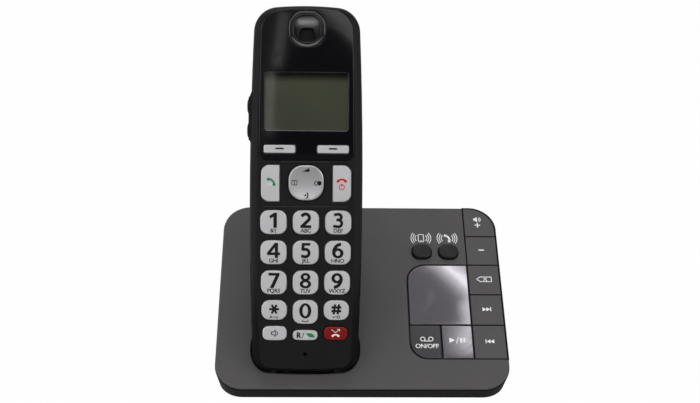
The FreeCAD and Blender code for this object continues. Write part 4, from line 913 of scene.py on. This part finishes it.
class PHONE_OT_key_legends(bpy.types.Operator):
    """Print the figures and signs on the handset's keys"""
    bl_idname = "phone.key_legends"
    bl_label = "Handset figures and signs"

    def execute(self, context):
        letter = context.scene.phone_legends.letter / MM
        letters = ("&'(", "ABC", "DEF", "GHI", "JKL", "NO", "PQRS", "TUV", "WXYZ")
        figure_up, letters_up, weight = 0.95, -3.95, 0.018
        # The M before NO is drawn, because the font's own fills up when its strokes are made heavier.
        drawn_m = [rectangle(-1.05, -0.92, -0.75, 0.92), rectangle(0.75, -0.92, 1.05, 0.92),
                   band([(-0.9, 0.85), (0.0, -0.55)], 0.28), band([(0.0, -0.55), (0.9, 0.85)], 0.28)]
        scale = letter / LETTER_CAP
        drawn_m = turned(drawn_m, 0, -2.1 * scale, letters_up, scale)
        for number, few in enumerate(letters, 1):
            extra, middle = (drawn_m, 1.1 * scale) if few == "NO" else ([], 0.0)
            mark("key_%d" % number, "_figure", self.figure(number, figure_up) + extra,
                 ((few, letter, middle, letters_up, weight),))
        space = band([(-1.35, 0.5), (-1.35, -0.35), (1.35, -0.35), (1.35, 0.5)], 0.4)
        mark("key_0", "_figure", self.figure(0, 0.6) + turned([space], 0, 0, -4.25))
        self.star_and_hash()
        self.call_keys()
        self.navigator()
        self.foot_row()
        for key in ("soft_key_left", "soft_key_right"):
            mark(key, "_sign", [rectangle(-2.0, -0.38, 2.0, 0.38, 0.15)], curved=False, centre=(0.0, 0.25))
        return {"FINISHED"}

    def figure(self, number, middle):
        """A figure at the set height, with its middle at a height on the key."""
        scale = bpy.context.scene.phone_legends.digit / MM / FIGURE_CAP
        return turned(figure(number), 0, 0, middle - FIGURE_CAP / 2 * scale, scale)

    def star_and_hash(self):
        """The star with its case sign, and the hash with its lock sign."""
        star = [turned([band([(-2.4, 0), (2.4, 0)], 1.05)], angle, 0, 0.45)[0] for angle in (0, 60, 120)]
        arrow = [band([(-0.8, 0), (0.3, 0)], 0.25), triangle(0.55, 0, 0.6, 0.85)]
        mark("key_star", "_figure", star + turned(arrow, 0, 0, -3.3),
             (("A", 1.4, -1.55, -3.3, 0.02), ("a", 1.4, 1.45, -3.3, 0.02)))
        bars = [band([(x - 0.35, -2.4), (x + 0.35, 2.4)], 1.1) for x in (-0.95, 0.95)]
        bars += [band([(-2.4, y), (2.4, y)], 1.1) for y in (-0.9, 0.9)]
        lock = [ring(1.0, 0, 0.6, 0.36), band([(-1.7, 0), (0.4, 0)], 0.36),
                band([(-1.4, 0), (-1.4, -0.6)], 0.36)]
        mark("key_hash", "_figure", turned(bars, 0, 0, 0.5) + turned(lock, 0, 0, -3.2))

    def call_keys(self):
        """A green receiver, and a red one over a switch sign."""
        mark("talk_key", "_sign", fitted(receiver(), 0.5, 0.6, 4.3, -42), slot="legend_green")
        power = [ring(0, 0, 1.25, 0.42), rectangle(-0.2, 0.1, 0.2, 1.75)]
        mark("off_key", "_sign", fitted(receiver(), -0.1, 1.4, 5.2) + turned(power, 0, -0.1, -1.7),
             slot="legend_red")

    def navigator(self):
        """Volume wedge, phone book, redial and call list round the four-way key."""
        wedge = [[[(-1.8, -0.7), (1.7, -0.7), (1.7, 0.9), (1.2, 0.9)]]]
        book = [frame_line(-1.2, -1.1, 1.2, 1.1, 0.2, 0.32), rectangle(-0.17, -1.1, 0.17, 1.1)]
        redial = [disc(0.75, 0, 1.1), band(arc(-0.7, 0, 0.9, 60, 300, 14), 0.42)]
        calls = [disc(-1.2, 0, 0.25), triangle(-0.35, 0, 1.0, 1.4),
                 band(arc(-1.1, 0, 1.7, -50, 50, 10), 0.6)]
        places = ((wedge, -0.1, 6.0), (book, -5.6, 0), (redial, 5.6, -0.2), (calls, 0.3, -6.0))
        shapes = [shape for sign, x, y in places for shape in turned(sign, 0, x, y)]
        mark("nav_key", "_signs", shapes)

    def foot_row(self):
        """The loudspeaker, recall and call-block signs."""
        mark("speaker_key", "_sign", fitted(hands_free_sign(), -0.1, 0, 3.2))
        mark("recall_key", "_letter", [band([(-1.35, -1.3), (-0.55, 1.3)], 0.36)],
             (("R", 2.5, -2.9, 0.0, 0.04),))
        leaf = [[arc(0, -1.1, 1.9, 20, 125, 10) + arc(0.9, 1.4, 1.9, 200, 300, 10)]]
        mark("recall_key", "_leaf", fitted(leaf, 2.5, 0.0, 4.8), slot="legend_green")
        arrow = [band([(-1.9, 1.9), (-0.1, 0.4), (1.9, 2.0)], 0.24),
                 band([(0.8, 2.05), (1.95, 2.05), (1.9, 1.0)], 0.26)]
        mark("block_key", "_sign", fitted(receiver(), 0.0, -1.0, 4.0) + arrow, slot="legend_white")


class PHONE_OT_inner_parts(bpy.types.Operator):
    """Finish the boards, speakers, contacts, cells, sockets and screws"""
    bl_idname = "phone.inner_parts"
    bl_label = "Inner parts"

    def execute(self, context):
        nodes = {}
        for entry in frame["record"]["subparts"]:
            nodes.setdefault(entry["material_slot"], []).append(entry["node"])
        board = moulded("board_mask", COLOURS["board_green"], roughness=0.35, tone=0.4)
        paint(board, *nodes["board_green"])
        plastic = moulded("inner_plastic", COLOURS["inner_black"], roughness=0.45)
        paint(plastic, *nodes["inner_black"])
        # the cone is made darker than its paper, painted shade for the deep slot in front of it
        paper = moulded("cone_paper_painted_shade", scaled(COLOURS["speaker_cone"], 0.3), roughness=0.75, depth=3,
                        specular=0.1)
        paint(paper, *nodes["speaker_cone"])
        for slot, name, roughness, depth in (("contact_metal", "contact_nickel", 0.28, 0.3),
                                             ("screw_steel", "screw_zinc", 0.32, 0.4)):
            metal = moulded(name, COLOURS[slot], roughness=roughness, spread=0.2, depth=depth, metallic=1.0,
                            edge_highlight=1.2)
            paint(metal, *nodes[slot])
        film = polished("sleeve_film", COLOURS["cell_sleeve"], roughness=0.22, edge_highlight=1.2)
        paint(film, *nodes["cell_sleeve"])
        return {"FINISHED"}


# ---------------------------------------------------------------- stage

class PHONE_OT_stage(bpy.types.Operator):
    """Set the floor, the lamps, the surroundings and the camera"""
    bl_idname = "phone.stage"
    bl_label = "Studio"

    def execute(self, context):
        self.floor()
        self.lamps()
        self.surroundings(context)
        self.camera(context)
        context.scene.view_settings.view_transform = "Standard"
        return {"FINISHED"}

    def floor(self):
        """A pale floor that is white to the eye and keeps a soft shadow."""
        bm = bmesh.new()
        bmesh.ops.create_grid(bm, x_segments=1, y_segments=1, size=3.0)
        mesh = bpy.data.meshes.new("floor")
        bm.to_mesh(mesh)
        bm.free()
        floor = bpy.data.objects.new("floor", mesh)
        bpy.context.scene.collection.objects.link(floor)

        def build(tree, surface):
            fill(tree, surface, {"Base Color": (0.45, 0.45, 0.45, 1), "Roughness": 0.9})
            white = node(tree, "ShaderNodeEmission", {"Color": (1, 1, 1, 1), "Strength": 1.0})
            seen = node(tree, "ShaderNodeLightPath").outputs["Is Camera Ray"]
            share = calc(tree, "MULTIPLY", seen, 0.985)  # what is left over keeps the soft shadow
            both = node(tree, "ShaderNodeMixShader", {0: share, 1: surface.outputs[0], 2: white.outputs[0]})
            target = next(n for n in tree.nodes if n.type == "OUTPUT_MATERIAL")
            tree.links.new(both.outputs[0], target.inputs["Surface"])
        mesh.materials.append(material("floor_white", build))

    def lamp(self, name, place, aim, size, glow, side=(1, 0, 0)):
        """One soft rectangular lamp of a radiance, pointing at a place, with its width along a side."""
        data = bpy.data.lights.new(name, "AREA")
        data.shape = "RECTANGLE"
        data.size, data.size_y = size
        data.energy = glow * math.pi * size[0] * size[1] * bpy.context.scene.phone_stage.light
        made = bpy.data.objects.new(name, data)
        back = (Vector(place) - Vector(aim)).normalized()
        side = Vector(side)
        side = (side - side.dot(back) * back).normalized()
        turn = Matrix((side, back.cross(side), back)).transposed()
        made.matrix_world = Matrix.Translation(place) @ turn.to_4x4()
        bpy.context.scene.collection.objects.link(made)
        return made

    def lamps(self):
        """Soft lamps behind, above and at each side, and small cards that show in the polished parts."""
        middle = (0.0, 0.0, 0.08)
        self.lamp("behind", (-0.2, 0.95, 1.15), middle, (1.3, 0.8), 2.2)
        self.lamp("above", (0.0, -0.55, 1.2), middle, (1.0, 0.4), 3.2)
        self.lamp("left", (-1.0, -0.5, 0.9), middle, (0.7, 0.7), 3.4)
        self.lamp("right", (1.0, -0.4, 0.9), middle, (0.7, 0.7), 4.0)
        panel = (-0.028, 0.035, 0.14)
        # The widths of these lamps lean, so that the streak leans as it runs down the panel.
        low, high = Vector((0.002, 0.057, 0.071)), Vector((0.019, 0.046, 0.053))
        across = Vector((1, 0, 0))
        self.lamp("panel_strip_low", (-0.0985, -0.901, 0.89), panel, (0.013, 0.10), 0.5, across - low * 0.3)
        self.lamp("panel_strip_high", (-0.082, -0.838, 0.967), panel, (0.016, 0.085), 1.0,
                  across - high * 1.85)
        self.lamp("panel_wide", (-0.155, -0.86, 0.94), panel, (0.14, 0.3), 0.12, across - high)
        self.lamp("bowl_strip", (-0.0407, -0.8203, 0.9871), panel, (0.030, 0.007), 7.0)
        self.lamp("panel_corner", (0.047, -0.802, 1.0), panel, (0.16, 0.1), 1.5, (0.72, -0.48, -0.57))
        flank = self.lamp("flank", (-1.05, 0.12, 0.14), (-0.05, 0.035, 0.14), (0.4, 0.2), 24.0, (0, 1, 0))
        flank.visible_glossy = False  # it lights the handset's dull side and isn't mirrored in the panel
        window = (0.04, 0.0, 0.03)
        self.lamp("window_wide", (0.18, 0.27, 1.19), window, (0.26, 0.24), 0.44)
        self.lamp("window_band", (0.2015, 0.2977, 1.18), window, (0.16, 0.05), 1.3, (1, -0.97, 0))
        self.lamp("window_streak", (0.196, 0.292, 1.17), window, (0.14, 0.012), 4.4, (1, -0.97, 0))
        self.lamp("window_corner", (0.228, 0.215, 1.17), window, (0.04, 0.07), 2.2, (1, 0.3, 0))
        self.lamp("play_key_wide", (0.196, 0.178, 1.134), window, (0.040, 0.041), 0.8)
        self.lamp("play_key_band", (0.207, 0.178, 1.134), window, (0.024, 0.041), 1.6)

    def surroundings(self, context):
        """White to the eye, and pale low down and dim overhead in what shines and in what is clear."""
        world = bpy.data.worlds.new("studio")
        world.use_nodes = True
        tree = world.node_tree
        tree.nodes.clear()
        path = node(tree, "ShaderNodeLightPath").outputs
        direction = node(tree, "ShaderNodeTexCoord").outputs["Generated"]
        parts = node(tree, "ShaderNodeSeparateXYZ", {"Vector": direction}).outputs
        dim = ramp(tree, parts["Z"], 0.05, 0.5, 0.42, 0.03)
        front = ramp(tree, parts["Y"], -0.95, -0.4, 0.2, 1.0)
        clear = ramp(tree, parts["Z"], 0.0, 0.3, 1.0, 0.03)
        mirrored = calc(tree, "MULTIPLY", path["Is Glossy Ray"], calc(tree, "MULTIPLY", dim, front))
        through = calc(tree, "MULTIPLY", path["Is Transmission Ray"], clear)
        bent = calc(tree, "MAXIMUM", path["Is Glossy Ray"], path["Is Transmission Ray"])
        diffuse = calc(tree, "MULTIPLY", calc(tree, "SUBTRACT", 1.0, bent), 0.3)
        dull = calc(tree, "ADD", calc(tree, "MAXIMUM", mirrored, through), diffuse)
        strength = calc(tree, "MAXIMUM", path["Is Camera Ray"], dull)
        light = node(tree, "ShaderNodeBackground", {"Color": (1, 1, 1, 1), "Strength": strength})
        target = node(tree, "ShaderNodeOutputWorld")
        tree.links.new(light.outputs[0], target.inputs["Surface"])
        context.scene.world = world

    def camera(self, context):
        """The camera, from its place, pitch, yaw and roll."""
        stage = context.scene.phone_stage
        level = math.cos(stage.pitch)
        forward = Vector((math.sin(stage.yaw) * level, math.cos(stage.yaw) * level, -math.sin(stage.pitch)))
        right = Vector((math.cos(stage.yaw), -math.sin(stage.yaw), 0))
        up = right.cross(forward)
        lean = math.cos(stage.roll) * right + math.sin(stage.roll) * up
        top = math.cos(stage.roll) * up - math.sin(stage.roll) * right
        data = bpy.data.cameras.new("camera")
        data.lens, data.sensor_width = stage.lens, 36.0
        data.clip_start, data.clip_end = 0.01, 20.0
        made = bpy.data.objects.new("camera", data)
        turn = Matrix((lean, top, -forward)).transposed().to_4x4()
        made.matrix_world = Matrix.Translation(stage.camera) @ turn
        context.scene.collection.objects.link(made)
        context.scene.camera = made


# ---------------------------------------------------------------- sidebar and start

SETTINGS = {"phone_finish": PHONE_PG_finish, "phone_legends": PHONE_PG_legends,
            "phone_stage": PHONE_PG_stage}
STEPS = (PHONE_OT_base, PHONE_OT_window, PHONE_OT_locator_keys, PHONE_OT_base_legends, PHONE_OT_shells,
         PHONE_OT_panel, PHONE_OT_earpiece, PHONE_OT_keys, PHONE_OT_key_legends, PHONE_OT_inner_parts,
         PHONE_OT_stage)


class PHONE_PT_sidebar(bpy.types.Panel):
    """Lists the steps and their settings"""
    bl_idname = "PHONE_PT_sidebar"
    bl_label = "Cordless telephone"
    bl_space_type = "VIEW_3D"
    bl_region_type = "UI"
    bl_category = "Telephone"

    def draw(self, context):
        for step in STEPS:
            self.layout.operator(step.bl_idname)
        for name, kind in SETTINGS.items():
            for setting in kind.__annotations__:
                self.layout.prop(getattr(context.scene, name), setting)


def register():
    """Makes the classes and the scene's settings known."""
    for kind in (*SETTINGS.values(), *STEPS, PHONE_PT_sidebar):
        bpy.utils.register_class(kind)
    for name, kind in SETTINGS.items():
        setattr(bpy.types.Scene, name, PointerProperty(type=kind))


def unregister():
    """Takes the settings and the classes away again."""
    for name in SETTINGS:
        delattr(bpy.types.Scene, name)
    for kind in (PHONE_PT_sidebar, *reversed(STEPS), *SETTINGS.values()):
        bpy.utils.unregister_class(kind)


def main():
    """Runs every step in order."""
    register()
    for step in STEPS:
        space, name = step.bl_idname.split(".")
        getattr(getattr(bpy.ops, space), name)()


if __name__ == "__main__":
    main()
